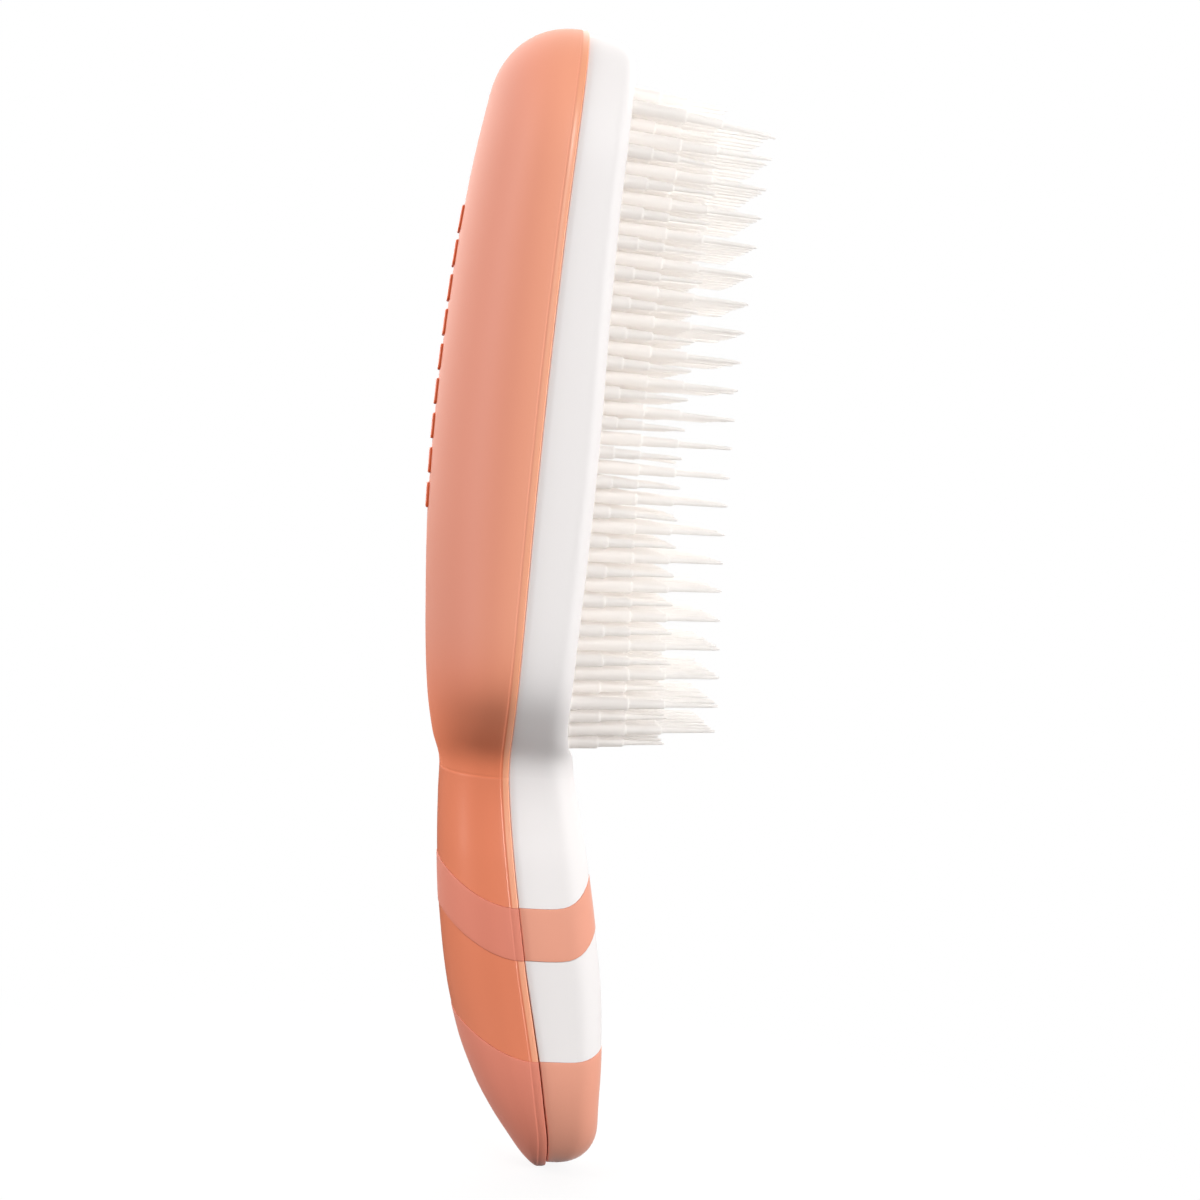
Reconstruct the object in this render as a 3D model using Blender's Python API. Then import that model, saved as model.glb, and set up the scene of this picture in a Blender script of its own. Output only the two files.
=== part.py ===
"""Styling brush: a coral back cover, a white front cover, a pad of stepped teeth and soft grips.

Metres, +Z up. The brush stands on its handle's end: +Z runs from the handle to the top of the head, the
teeth point along +X, and Y runs across the width. The origin is the middle of the grip, where a hand closes
round the handle. A place along the brush is given as u: -1 at the handle's end, 0 at the neck and 1 at the
top of the head.
"""

import math

import bmesh
import bpy
from mathutils import Vector
from mathutils.geometry import delaunay_2d_cdt

# Lengths along the brush
head_length = 0.1445
handle_length = 0.0802
grip_to_neck = 0.039
head_round_length = 0.0315
handle_round_length = 0.024

# Widths across it
head_width = 0.060
handle_width = 0.0332
neck_width = 0.0292

# Depths fore and aft of the seam
back_depth = 0.0198
front_depth = 0.0152
seam_offset = 0.0086

# Covers
back_wall = 0.0018
front_wall = 0.0020
rim_height = 0.0018
rim_step = 0.00035
rim_overhang = 0.0009
crown_round_length = 0.014
lip_round_length = 0.008
toe_round_length = 0.0105
corner_radius = 0.008
hollow_corner_radius = 0.0006
front_end_depth = 0.0012
side_draft = 0.0006
end_face_half_width = 0.0024

# Joints between the covers
fit_gap = 0.0003
tongue_depth = 0.0013
pin_radius = 0.0015
pin_entry = 0.004
socket_wall = 0.0015
pad_post_radius = 0.0022
pad_post_spread = 0.012

# Window and pad
ledge_width = 0.0011
ledge_ramp = 0.004
lip_width = 0.004
window_top_gap = 0.0101
window_bottom_gap = 0.0045
pad_recess = 0.0031
pad_rise = 0.0033
pad_step = 0.0016
pad_flange_thickness = 0.0014

# Teeth: a thick base, a middle and a thin tip, in a long and a short kind
rows_of_teeth = 45
teeth_across = 10
tooth_margin = 0.0005
end_tooth_margin = 0.0015
tooth_base_radius = 0.0013
tooth_shoulder_radius = 0.00115
tooth_neck_radius = 0.0007
long_tooth_lengths = (0.0112, 0.0070, 0.0104)
short_tooth_lengths = (0.0060, 0.0050, 0.0080)
tooth_sides = 3
tooth_lean_share = 0.7

# Soft grips
grip_band_height = 0.0102
grip_band_place = 0.0084
grip_end_place = -0.0163
back_arch = 0.0122
front_band_arch = 0.0062
front_end_arch = 0.0052
back_grip_lift = 0.0002
front_grip_lift = 0.0001
grip_thickness = 0.0008

# Cutters run past what they cut by this much
overrun = 0.003

# Roundness of the shell's sections and ends, as exponents
section_power = 2.3
outline_power = 2.6
lip_power = 2.0
toe_power = 2.6
handle_end_power = 2.0
corner_side_share = 0.7
back_arch_power = 2
front_arch_power = 5

# Half width: how far it has swelled from the neck's towards the handle's, then towards the head's
handle_swell_shares = ((-1.0, 0.9), (-0.72, 0.95), (-0.46, 1.0), (-0.22, 0.55), (-0.08, 0.12), (0.0, 0.0))
head_swell_shares = (
    (0.0, 0.0), (0.009, 0.025), (0.018, 0.075), (0.028, 0.15), (0.0415, 0.275), (0.055, 0.405),
    (0.069, 0.53), (0.083, 0.65), (0.097, 0.76), (0.111, 0.845), (0.125, 0.905), (0.145, 0.955),
    (0.17, 0.983), (0.20, 0.997), (0.22, 1.0), (1.0, 1.0),
)

# Half width of the window from its lower end to its upper, as shares of its widest
window_shares = (
    (0.0, 0.43), (0.003, 0.475), (0.007, 0.517), (0.0107, 0.55), (0.0145, 0.572), (0.0215, 0.60),
    (0.033, 0.67), (0.045, 0.73), (0.0566, 0.785), (0.0665, 0.83), (0.078, 0.88), (0.0867, 0.905),
    (0.10, 0.93), (0.12, 0.96), (0.14, 0.985), (0.152, 0.999), (0.18, 1.0), (0.24, 1.0), (0.32, 1.0),
    (0.41, 1.0), (0.50, 1.0), (0.60, 1.0), (0.70, 1.0), (0.78, 1.0), (0.86, 1.0),
    (0.88, 1.0), (0.893, 0.998), (0.901, 0.985), (0.912, 0.968), (0.925, 0.95), (0.94, 0.93),
    (0.952, 0.913), (0.9575, 0.90), (0.966, 0.88), (0.974, 0.85), (0.98, 0.82), (0.987, 0.78),
    (0.992, 0.735), (0.996, 0.68), (1.0, 0.60),
)

# Depth of the back cover behind the seam, as shares of back_depth
back_depth_shares = (
    (-1.0, 0.091), (-0.959, 0.253), (-0.911, 0.386), (-0.864, 0.500), (-0.765, 0.667), (-0.667, 0.763),
    (-0.543, 0.800), (-0.370, 0.788), (-0.222, 0.747), (-0.074, 0.692), (0.0, 0.667), (0.0415, 0.750),
    (0.097, 0.828), (0.208, 0.914), (0.367, 0.987), (0.4775, 1.0), (0.644, 0.980), (0.803, 0.919),
    (0.903, 0.848), (1.0, 0.783),
)

# Depth of the front cover before the seam, as shares of front_depth
front_depth_shares = (
    (-1.0, 0.62), (-0.89, 0.68), (-0.80, 0.748), (-0.704, 0.836), (-0.605, 0.921), (-0.481, 0.993),
    (-0.358, 1.0), (-0.235, 0.987), (-0.111, 0.941), (-0.012, 0.875), (0.021, 0.842), (0.048, 0.757),
    (0.076, 0.711), (0.111, 0.697), (0.145, 0.697), (0.221, 0.711), (0.298, 0.730), (0.381, 0.740),
    (0.457, 0.737), (0.637, 0.684), (0.768, 0.651), (0.872, 0.635), (0.955, 0.605), (1.0, 0.595),
)

# The seam's own line fore and aft, as shares of seam_offset
seam_shares = (
    (-1.0, 1.0), (-0.901, 0.895), (-0.802, 0.709), (-0.704, 0.523), (-0.605, 0.308), (-0.481, 0.035),
    (-0.358, -0.198), (-0.235, -0.419), (-0.111, -0.616), (-0.012, -0.744), (0.048, -0.791),
    (0.145, -0.814), (0.318, -0.814), (0.491, -0.791), (0.699, -0.709), (0.837, -0.616), (1.0, -0.453),
)

# The front cover's corner radius, as shares of corner_radius
corner_shares = ((-1.0, 1.0), (0.0, 1.0), (0.014, 0.9), (0.05, 0.56), (0.2, 0.5), (1.0, 0.45))

# Where pins and posts stand, as places along the brush
pin_place_shares = (-0.80, -0.46, -0.13)
post_place_shares = (0.22, 0.48, 0.74)

# Places along the brush where a section is drawn between the round ends
handle_place_shares = (-0.62, -0.54, -0.46, -0.38, -0.30, -0.22, -0.15, -0.09, -0.04)
head_place_shares = (
    0.0, 0.014, 0.028, 0.0415, 0.058, 0.076, 0.097, 0.122, 0.152, 0.20, 0.27, 0.34, 0.41,
    0.48, 0.55, 0.62, 0.69, 0.75,
)
end_angles = tuple(math.radians(degrees) for degrees in (12, 26, 40, 52, 63, 72, 79))
across_count = 16
inner_across_count = 10
corner_steps = 4
round_sides = 12
band_rows = 3
end_grip_rows = 9

# Colours, linear
coral = (0.80, 0.30, 0.19)
soft_coral = (0.73, 0.27, 0.18)
white = (0.86, 0.82, 0.80)
tooth_white = (0.86, 0.79, 0.72)

neck_z = grip_to_neck
top_z = neck_z + head_length
bottom_z = neck_z - handle_length


def smooth_line(shares, place):
    """A smooth curve through (place, share) pairs, read at one place. It never passes a pair's own share."""
    places = [pair[0] for pair in shares]
    values = [pair[1] for pair in shares]
    place = min(max(place, places[0]), places[-1])
    steps = [b - a for a, b in zip(places, places[1:])]
    slopes = [(b - a) / step for a, b, step in zip(values, values[1:], steps)]
    tangents = [slopes[0]]
    for k in range(1, len(slopes)):
        before, after = slopes[k - 1], slopes[k]
        tangents.append(2 * before * after / (before + after) if before * after > 0 else 0)
    tangents.append(slopes[-1])
    k = 0
    while k < len(steps) - 1 and place > places[k + 1]:
        k += 1
    t = (place - places[k]) / steps[k]
    rise = (3 - 2 * t) * t * t
    start_pull = t * (1 - t) * (1 - t) * steps[k] * tangents[k]
    end_pull = t * t * (t - 1) * steps[k] * tangents[k + 1]
    return values[k] + (values[k + 1] - values[k]) * rise + start_pull + end_pull


def place_of(z):
    """The place u along the brush of a height z."""
    return (z - neck_z) / (head_length if z > neck_z else handle_length)


def height_of(place):
    return neck_z + place * (head_length if place > 0 else handle_length)


def rounding(distance, length, power):
    """1 away from a round end, falling to 0 at it. distance runs from where the rounding starts."""
    share = min(max(distance / length, 0), 1)
    return (1 - share**power) ** (1 / power)


def seam_x(z):
    return seam_offset * smooth_line(seam_shares, place_of(z))


def half_width(z, inset=0):
    """Half the width of the outline, drawn in by inset all round."""
    neck = neck_width / 2
    if z > neck_z:
        swell = smooth_line(head_swell_shares, place_of(z)) * (head_width / 2 - neck)
    else:
        swell = smooth_line(handle_swell_shares, place_of(z)) * (handle_width / 2 - neck)
    top = rounding(z - (top_z - head_round_length), head_round_length - inset, outline_power)
    bottom = rounding(bottom_z + handle_round_length - z, handle_round_length - inset, handle_end_power)
    return (neck + swell - inset) * top * bottom


def back_reach(z, inset=0):
    """Depth of the back cover behind the seam at its crown."""
    depth = back_depth * smooth_line(back_depth_shares, place_of(z))
    crown = rounding(z - (top_z - crown_round_length), crown_round_length - inset, section_power)
    return max(rim_height + (depth - inset - rim_height) * crown, rim_height)


def front_reach(z, inset=0):
    """Depth of the front cover before the seam at its crown."""
    depth = front_depth * smooth_line(front_depth_shares, place_of(z)) - inset
    lip_start = top_z - rim_overhang - lip_round_length
    toe_start = bottom_z + rim_overhang + toe_round_length
    lip = rounding(z - lip_start, lip_round_length - inset, lip_power)
    toe = rounding(toe_start - z, toe_round_length - inset, toe_power)
    return depth * lip * toe


def heights(inset):
    """The heights at which a cover's sections are drawn, closer together on its round ends."""
    low_start = bottom_z + handle_round_length
    low = [
        low_start - (handle_round_length - inset) * math.sin(angle) ** (2 / handle_end_power)
        for angle in reversed(end_angles)
    ]
    high = [
        top_z - head_round_length + (head_round_length - inset) * math.sin(angle) ** (2 / outline_power)
        for angle in end_angles
    ]
    middle = [height_of(place) for place in handle_place_shares + head_place_shares]
    return [bottom_z + inset] + low + middle + high + [top_z - inset]


def back_section(z, inset, count):
    """Points across the inside of the back cover at one height, from -Y over the crown to +Y."""
    side = max(half_width(z, inset), end_face_half_width - inset)
    depth = back_reach(z, inset)
    return [
        Vector((seam_x(z) - depth * behind, side * across, z))
        for across, behind in section_curve(count)
    ]


def section_curve(count):
    """The back's section as (across, behind) shares, from one rim over the crown to the other."""
    curve = []
    for k in range(count + 1):
        angle = math.pi * k / count
        across = -math.copysign(abs(math.cos(angle)) ** (2 / section_power), math.cos(angle))
        curve.append((across, math.sin(angle) ** (2 / section_power)))
    return curve


def rimmed_back_section(z, inset, lift, past=0):
    """Points across the outside of the back: a raised bead along each rim, then the crown. Inset draws it
    in and lift raises it. With past it goes on beyond the seam by that much."""
    side = max(half_width(z, inset), end_face_half_width - inset) + lift
    bead_height = rim_height + lift - inset
    depth = back_reach(z, inset) + lift - bead_height
    seam = seam_x(z)
    bead = [Vector((seam + past, -side, z)), Vector((seam - bead_height, -side, z))]
    crown = [
        Vector((seam - bead_height - depth * behind, (side - rim_step) * across, z))
        for across, behind in section_curve(across_count)
    ]
    return bead + crown + [Vector((p.x, -p.y, p.z)) for p in reversed(bead)]


def boxy_section(z, start, side, depth, radius):
    """Points across the front at one height: side wall, round corner, front face, and back again. start is
    where the side wall starts, measured from the seam."""
    radius = max(min(radius, depth / 2, side * corner_side_share), fit_gap)
    draft = side_draft * min(depth / front_depth, 1)
    base = seam_x(z)
    half = [Vector((base + start, -side, z))]
    for k in range(corner_steps + 1):
        angle = math.pi / 2 * k / corner_steps
        over = side - draft - radius + radius * math.cos(angle)
        half.append(Vector((base + depth - radius + radius * math.sin(angle), -over, z)))
    half.append(Vector((base + depth, (draft + radius - side) / 2, z)))
    return half + [Vector((base + depth, 0, z))] + [Vector((p.x, -p.y, p.z)) for p in reversed(half)]


def front_section(z, inset, lift, past=0):
    """Points across the outside of the front cover. With past it starts beyond the seam by that much."""
    side = max(half_width(z, rim_overhang + inset), end_face_half_width - inset) + lift
    depth = max(front_reach(z, inset) + lift, front_end_depth)
    radius = corner_radius * smooth_line(corner_shares, place_of(z)) + lift - inset
    return boxy_section(z, fit_gap - past, side, depth, radius)


def ledge_share(z):
    """0 on the handle, and 1 where the front cover's hollow ends at the ledge behind the window."""
    ledge_end = window_bottom() - ledge_width - fit_gap
    return min(max(1 - (ledge_end - z) / ledge_ramp, 0), 1)


def hollow_section(z):
    """Points across the inside of the front cover: behind its front wall, and higher up behind the ledge."""
    side = max(half_width(z, rim_overhang + front_wall), end_face_half_width - front_wall)
    lip_start = top_z - rim_overhang - lip_round_length
    lip = rounding(z - lip_start, lip_round_length - front_wall, lip_power)
    handle_depth = front_reach(z, front_wall)
    ledge_depth = (pad_x(z) - pad_step + fit_gap - seam_x(z)) * lip
    depth = max(handle_depth + (ledge_depth - handle_depth) * ledge_share(z), front_end_depth)
    radius = hollow_corner_radius + (corner_radius - front_wall - hollow_corner_radius) * (1 - ledge_share(z))
    return boxy_section(z, fit_gap, side, depth, radius)


def pad_place(z):
    """Where a height lies on the window: -1 at its lower end, 0 at its middle and 1 at its upper end."""
    return (2 * z - window_bottom() - window_top()) / (window_top() - window_bottom())


def pad_x(z):
    """The tooth bed: a shallow curve along the brush, hollow towards the teeth."""
    middle = (window_bottom() + window_top()) / 2
    lip = seam_x(middle) + front_depth * smooth_line(front_depth_shares, place_of(middle))
    return lip - pad_recess + pad_rise * pad_place(z) ** 2


def pad_lean(z):
    """How far a tooth leans from square to the brush: most of the way to square to the tooth bed."""
    return -math.atan(4 * pad_rise * pad_place(z) / (window_top() - window_bottom())) * tooth_lean_share


def window_half():
    return head_width / 2 - rim_overhang - lip_width


def window_top():
    return top_z - window_top_gap


def window_bottom():
    return neck_z + window_bottom_gap


def window_half_at(z):
    """Half the window's width at one height, straight from each place in window_shares to the next."""
    place = (z - window_bottom()) / (window_top() - window_bottom())
    for (low, low_share), (high, high_share) in zip(window_shares, window_shares[1:]):
        if low <= place <= high:
            share = low_share + (high_share - low_share) * (place - low) / (high - low)
            return window_half() * share
    return 0


def window_outline(offset):
    """The window's outline as (y, z) pairs, grown by offset, counted round from its lower right corner."""
    places = [pair[0] for pair in window_shares]
    right = [window_bottom() + place * (window_top() - window_bottom()) for place in places]
    corners = [(window_half_at(z), z) for z in right]
    corners += [(-y, z) for y, z in reversed(corners)]
    grown = []
    for k, (y, z) in enumerate(corners):
        before = Vector(corners[k - 1])
        after = Vector(corners[(k + 1) % len(corners)])
        inward = (Vector((y, z)) - before).normalized()
        outward = (after - Vector((y, z))).normalized()
        normals = [Vector((step.y, -step.x)) for step in (inward, outward)]
        share = offset / (1 + normals[0].dot(normals[1]))
        grown.append((y + share * (normals[0].x + normals[1].x), z + share * (normals[0].y + normals[1].y)))
    return grown


def has_room(y, z):
    """Whether a tooth that stands there is inside the pad's edge."""
    clear = tooth_base_radius + fit_gap
    for k in range(round_sides):
        angle = 2 * math.pi * k / round_sides
        if abs(y) + clear * math.cos(angle) > window_half_at(z + clear * math.sin(angle)):
            return False
    return True


def new_object(name, mesh_data, colour=None, roughness=0.4):
    """An object from a bmesh. One with no colour is a cutter, which no render shows."""
    bmesh.ops.recalc_face_normals(mesh_data, faces=mesh_data.faces)
    mesh = bpy.data.meshes.new(name)
    mesh_data.to_mesh(mesh)
    mesh_data.free()
    made = bpy.data.objects.new(name, mesh)
    bpy.context.scene.collection.objects.link(made)
    if colour is None:
        made.hide_render = True
        made.display_type = "WIRE"
        return made
    material = bpy.data.materials.new(name)
    material.use_nodes = True
    finish = material.node_tree.nodes["Principled BSDF"]
    finish.inputs["Base Color"].default_value = (*colour, 1)
    finish.inputs["Roughness"].default_value = roughness
    finish.inputs["Metallic"].default_value = 0
    mesh.materials.append(material)
    mesh.shade_smooth()
    mesh.set_sharp_from_angle(angle=math.radians(35))
    return made


def boolean(made, cutter, operation):
    step = made.modifiers.new(cutter.name, "BOOLEAN")
    step.operation = operation
    step.solver = "EXACT"
    step.object = cutter


def sheet(mesh_data, rows):
    """Faces over a grid of points. It gives back the grid's vertices."""
    grid = [[mesh_data.verts.new(point) for point in row] for row in rows]
    for low, high in zip(grid, grid[1:]):
        for k in range(len(low) - 1):
            mesh_data.faces.new((low[k], low[k + 1], high[k + 1], high[k]))
    return grid


def edge_pairs(grid):
    """The two side edges of a grid, as a (left, right) pair for each row."""
    return [(row[0], row[-1]) for row in grid]


def join_pairs(mesh_data, outer, inner):
    """Faces between two lists of side edges, and across their two ends."""
    for side in (0, 1):
        for k in range(len(outer) - 1):
            corners = (outer[k][side], outer[k + 1][side], inner[k + 1][side], inner[k][side])
            mesh_data.faces.new(corners)
    for end in (0, -1):
        mesh_data.faces.new((outer[end][0], outer[end][1], inner[end][1], inner[end][0]))


def shell(outer_rows, inner_rows, rim_rows=()):
    """A hollow cover open along its seam. rim_rows are the steps of its rim between outside and inside."""
    mesh_data = bmesh.new()
    outer = sheet(mesh_data, outer_rows)
    inner = sheet(mesh_data, inner_rows)
    for grid in (outer, inner):
        mesh_data.faces.new(grid[0])
        mesh_data.faces.new(grid[-1])
    chain = [edge_pairs(outer)]
    for pairs in rim_rows:
        chain.append([tuple(mesh_data.verts.new(point) for point in pair) for pair in pairs])
    chain.append(edge_pairs(inner))
    for before, after in zip(chain, chain[1:]):
        join_pairs(mesh_data, before, after)
    bmesh.ops.triangulate(mesh_data, faces=mesh_data.faces)
    return mesh_data


def skin(outer_rows, inner_rows, has_end):
    """A layer between two grids. With has_end its lowest rows are closed faces, as on the handle's end."""
    mesh_data = bmesh.new()
    outer = sheet(mesh_data, outer_rows)
    inner = sheet(mesh_data, inner_rows)
    for side in (0, -1):
        for k in range(len(outer) - 1):
            corners = (outer[k][side], outer[k + 1][side], inner[k + 1][side], inner[k][side])
            mesh_data.faces.new(corners)
    ends = [-1] if has_end else [0, -1]
    for end in ends:
        for k in range(len(outer[end]) - 1):
            corners = (outer[end][k], outer[end][k + 1], inner[end][k + 1], inner[end][k])
            mesh_data.faces.new(corners)
    if has_end:
        mesh_data.faces.new(outer[0])
        mesh_data.faces.new(inner[0])
        mesh_data.faces.new((outer[0][0], outer[0][-1], inner[0][-1], inner[0][0]))
    bmesh.ops.triangulate(mesh_data, faces=mesh_data.faces)
    return mesh_data


def peg(name, place, spread, low_x, high_x, radius):
    """A round bar along X, used for pins, posts and sockets."""
    mesh_data = bmesh.new()
    for x in (low_x, high_x):
        for k in range(round_sides):
            angle = 2 * math.pi * k / round_sides
            across = spread + radius * math.cos(angle)
            mesh_data.verts.new((x, across, height_of(place) + radius * math.sin(angle)))
    mesh_data.verts.ensure_lookup_table()
    low = mesh_data.verts[:round_sides]
    high = mesh_data.verts[round_sides:]
    for k in range(round_sides):
        after = (k + 1) % round_sides
        mesh_data.faces.new((low[k], low[after], high[after], high[k]))
    mesh_data.faces.new(low)
    mesh_data.faces.new(high)
    return new_object(name, mesh_data)


def grip_rows(section, places, arch, inset, lift, past=0):
    """Rows of points over a grip. places holds each row's height at the seam and its share of the arch."""
    arch_height, arch_power, full_depth = arch
    rows = []
    for base, arch_share in places:
        row = []
        for k, point in enumerate(section(base, 0, 0)):
            reach = abs(point.x - seam_x(base)) / full_depth
            row.append(section(base + arch_height * arch_share * reach**arch_power, inset, lift, past)[k])
        rows.append(row)
    return rows


def grip_places(low, high, has_end):
    """Each row's height at the seam and its share of the arch, which is nothing at the handle's end."""
    places = []
    count = end_grip_rows if has_end else band_rows
    for k in range(count + 1):
        turn = math.pi / 2 * k / count
        along, arch_share = (1 - math.cos(turn), math.sin(turn) ** 2) if has_end else (k / count, 1)
        places.append((low + (high - low) * along, arch_share))
    return places


def make_grip(cover, name, section, arch, lift, low, high, has_end):
    """A soft grip in a recess of its cover, with a gap on every side. Lift is how far it stands proud."""
    depth = grip_thickness - lift
    outer = grip_rows(section, grip_places(low - lift * has_end, high, has_end), arch, 0, lift)
    inner = grip_rows(section, grip_places(low + depth * has_end, high, has_end), arch, depth, 0)
    new_object(name, skin(outer, inner, has_end), soft_coral, 0.62)
    deep = depth + fit_gap
    below, inside = (overrun, deep) if has_end else (fit_gap, -fit_gap)
    high += fit_gap
    outer = grip_rows(section, grip_places(low - below, high, has_end), arch, 0, overrun, overrun)
    inner = grip_rows(section, grip_places(low + inside, high, has_end), arch, deep, 0, overrun)
    boolean(cover, new_object(name + "_recess", skin(outer, inner, has_end)), "DIFFERENCE")


def make_back_cover():
    outer = [rimmed_back_section(z, 0, 0) for z in heights(0)]
    inner = [back_section(z, back_wall, inner_across_count) for z in heights(back_wall)]
    cover = new_object("back_cover", shell(outer, inner), coral, 0.38)
    for number, place in enumerate(pin_place_shares):
        z = height_of(place)
        root = seam_x(z) - back_reach(z) + back_wall / 2
        boolean(cover, peg(f"pin_{number}", place, 0, root, seam_x(z) + pin_entry, pin_radius), "UNION")
    for number, place in enumerate(post_place_shares):
        z = height_of(place)
        depth = back_reach(z) * rounding(pad_post_spread, head_width / 2, section_power)
        root = seam_x(z) - depth + back_wall / 2
        tip = pad_x(z) - pad_step - pad_flange_thickness - fit_gap
        for side in (-1, 1):
            name = f"post_{number}_{side}"
            boolean(cover, peg(name, place, side * pad_post_spread, root, tip, pad_post_radius), "UNION")
    return cover


def tongue_edges(inset, depth):
    """One pair of points for each section height: an edge of the tongue that locates the front cover."""
    pairs = []
    for z in heights(inset):
        side = max(half_width(z, inset), end_face_half_width - inset)
        pairs.append((Vector((seam_x(z) + depth, -side, z)), Vector((seam_x(z) + depth, side, z))))
    return pairs


def make_front_cover():
    inner_edge = rim_overhang + front_wall
    outer = [front_section(z, 0, 0) for z in heights(rim_overhang)]
    inner = [hollow_section(z) for z in heights(inner_edge)]
    tongue = (
        tongue_edges(back_wall + fit_gap, fit_gap),
        tongue_edges(back_wall + fit_gap, -tongue_depth),
        tongue_edges(inner_edge, -tongue_depth),
    )
    cover = new_object("front_cover", shell(outer, inner, tongue), white, 0.32)
    window = bmesh.new()
    outline = window_outline(0)
    low_x = pad_x(window_top()) - pad_rise - pad_step - front_wall
    high_x = pad_x(window_top()) + pad_recess + overrun
    low = [window.verts.new((low_x, y, z)) for y, z in outline]
    high = [window.verts.new((high_x, y, z)) for y, z in outline]
    for k in range(len(low)):
        after = (k + 1) % len(low)
        window.faces.new((low[k], low[after], high[after], high[k]))
    window.faces.new(low)
    window.faces.new(high)
    boolean(cover, new_object("window", window), "DIFFERENCE")
    for number, place in enumerate(pin_place_shares):
        z = height_of(place)
        bore = pin_radius + fit_gap
        root = seam_x(z) + front_reach(z) - front_wall / 2
        socket = peg(f"socket_{number}", place, 0, seam_x(z) + fit_gap, root, bore + socket_wall)
        boolean(cover, socket, "UNION")
        bore_end = seam_x(z) + pin_entry + fit_gap
        boolean(cover, peg(f"bore_{number}", place, 0, seam_x(z) - overrun, bore_end, bore), "DIFFERENCE")
    return cover


def tooth_rings(y, z, lengths):
    """The rings of one tooth, each three corners, and its point. It stands nearly square to the tooth bed."""
    lean = pad_lean(z)
    forward = Vector((math.cos(lean), 0, math.sin(lean)))
    upward = Vector((-math.sin(lean), 0, math.cos(lean)))
    foot = Vector((pad_x(z), y, z))
    rings = []
    height = 0
    for radius, step in zip((tooth_shoulder_radius, tooth_neck_radius), lengths):
        height += step
        centre = foot + forward * height
        corners = []
        for k in range(tooth_sides):
            angle = 2 * math.pi * k / tooth_sides
            across = Vector((0, radius * math.sin(angle), 0))
            corners.append(centre + upward * (radius * math.cos(angle)) + across)
        rings.append(corners)
    return rings, foot + forward * sum(lengths)


def tooth_places():
    """(y, z, lengths) of every tooth: short and long rows by turns, staggered, as many across as fit."""
    pitch = 2 * (window_half() - tooth_base_radius - tooth_margin) / (teeth_across - 1)
    first_row = window_bottom() + tooth_base_radius + end_tooth_margin
    last_row = window_top() - tooth_base_radius - end_tooth_margin
    places = []
    for row in range(rows_of_teeth):
        z = first_row + (last_row - first_row) * row / (rows_of_teeth - 1)
        is_short = row % 2 == 0
        lengths = short_tooth_lengths if is_short else long_tooth_lengths
        first = pitch / 2 if is_short else 0
        across = [first + pitch * k for k in range(teeth_across)]
        fitting = [y for y in across if has_room(y, z)]
        places += [(y, z, lengths) for y in fitting]
        places += [(-y, z, lengths) for y in fitting if y > 0]
    return places


def flange_limit(z):
    """How far the pad's flange may reach before it meets the side wall of the front cover's hollow."""
    return half_width(z, rim_overhang + front_wall) - side_draft - fit_gap


def make_tooth_pad():
    """One moulding: the teeth, the bed that they stand on, and a flange behind the window's ledge."""
    teeth = tooth_places()
    outline = window_outline(-fit_gap)
    points = [Vector(corner) for corner in outline]
    edges = [(k, (k + 1) % len(outline)) for k in range(len(outline))]
    feet = []
    for y, z, _ in teeth:
        first = len(points)
        for k in range(tooth_sides):
            angle = 2 * math.pi * k / tooth_sides
            across = tooth_base_radius * math.sin(angle)
            points.append(Vector((y + across, z + tooth_base_radius * math.cos(angle))))
        corners = list(range(first, first + tooth_sides))
        feet.append(corners)
        edges += [(corners[k], corners[(k + 1) % tooth_sides]) for k in range(tooth_sides)]
    flat = delaunay_2d_cdt(points, edges, [], 1, tooth_margin / 1000)
    mesh_data = bmesh.new()
    bed = [mesh_data.verts.new((pad_x(point.y), point.x, point.y)) for point in flat[0]]
    place_in_bed = {source: k for k, sources in enumerate(flat[3]) for source in sources}
    covered = {frozenset(place_in_bed[corner] for corner in corners) for corners in feet}
    for face in flat[2]:
        if frozenset(face) not in covered:
            mesh_data.faces.new([bed[k] for k in face])
    for corners, (y, z, lengths) in zip(feet, teeth):
        below = [bed[place_in_bed[corner]] for corner in corners]
        rings, tip = tooth_rings(y, z, lengths)
        for ring in rings:
            above = [mesh_data.verts.new(point) for point in ring]
            for k in range(tooth_sides):
                after = (k + 1) % tooth_sides
                mesh_data.faces.new((below[k], below[after], above[after], above[k]))
            below = above
        point = mesh_data.verts.new(tip)
        for k in range(tooth_sides):
            mesh_data.faces.new((below[k], below[(k + 1) % tooth_sides], point))
    flange = [
        (math.copysign(min(abs(y), flange_limit(z)), y), z)
        for y, z in window_outline(ledge_width - fit_gap)
    ]
    levels = (
        (outline, pad_step),
        (flange, pad_step),
        (flange, pad_step + pad_flange_thickness),
    )
    before = [bed[place_in_bed[k]] for k in range(len(outline))]
    for line, drop in levels:
        after = [mesh_data.verts.new((pad_x(z) - drop, y, z)) for y, z in line]
        for k in range(len(line)):
            following = (k + 1) % len(line)
            mesh_data.faces.new((before[k], before[following], after[following], after[k]))
        before = after
    half = len(before) // 2
    for k in range(half - 1):
        mesh_data.faces.new((before[k], before[k + 1], before[-k - 2], before[-k - 1]))
    bmesh.ops.triangulate(mesh_data, faces=mesh_data.faces)
    print(len(teeth), "teeth")
    return new_object("tooth_pad", mesh_data, tooth_white, 0.45)


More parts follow.
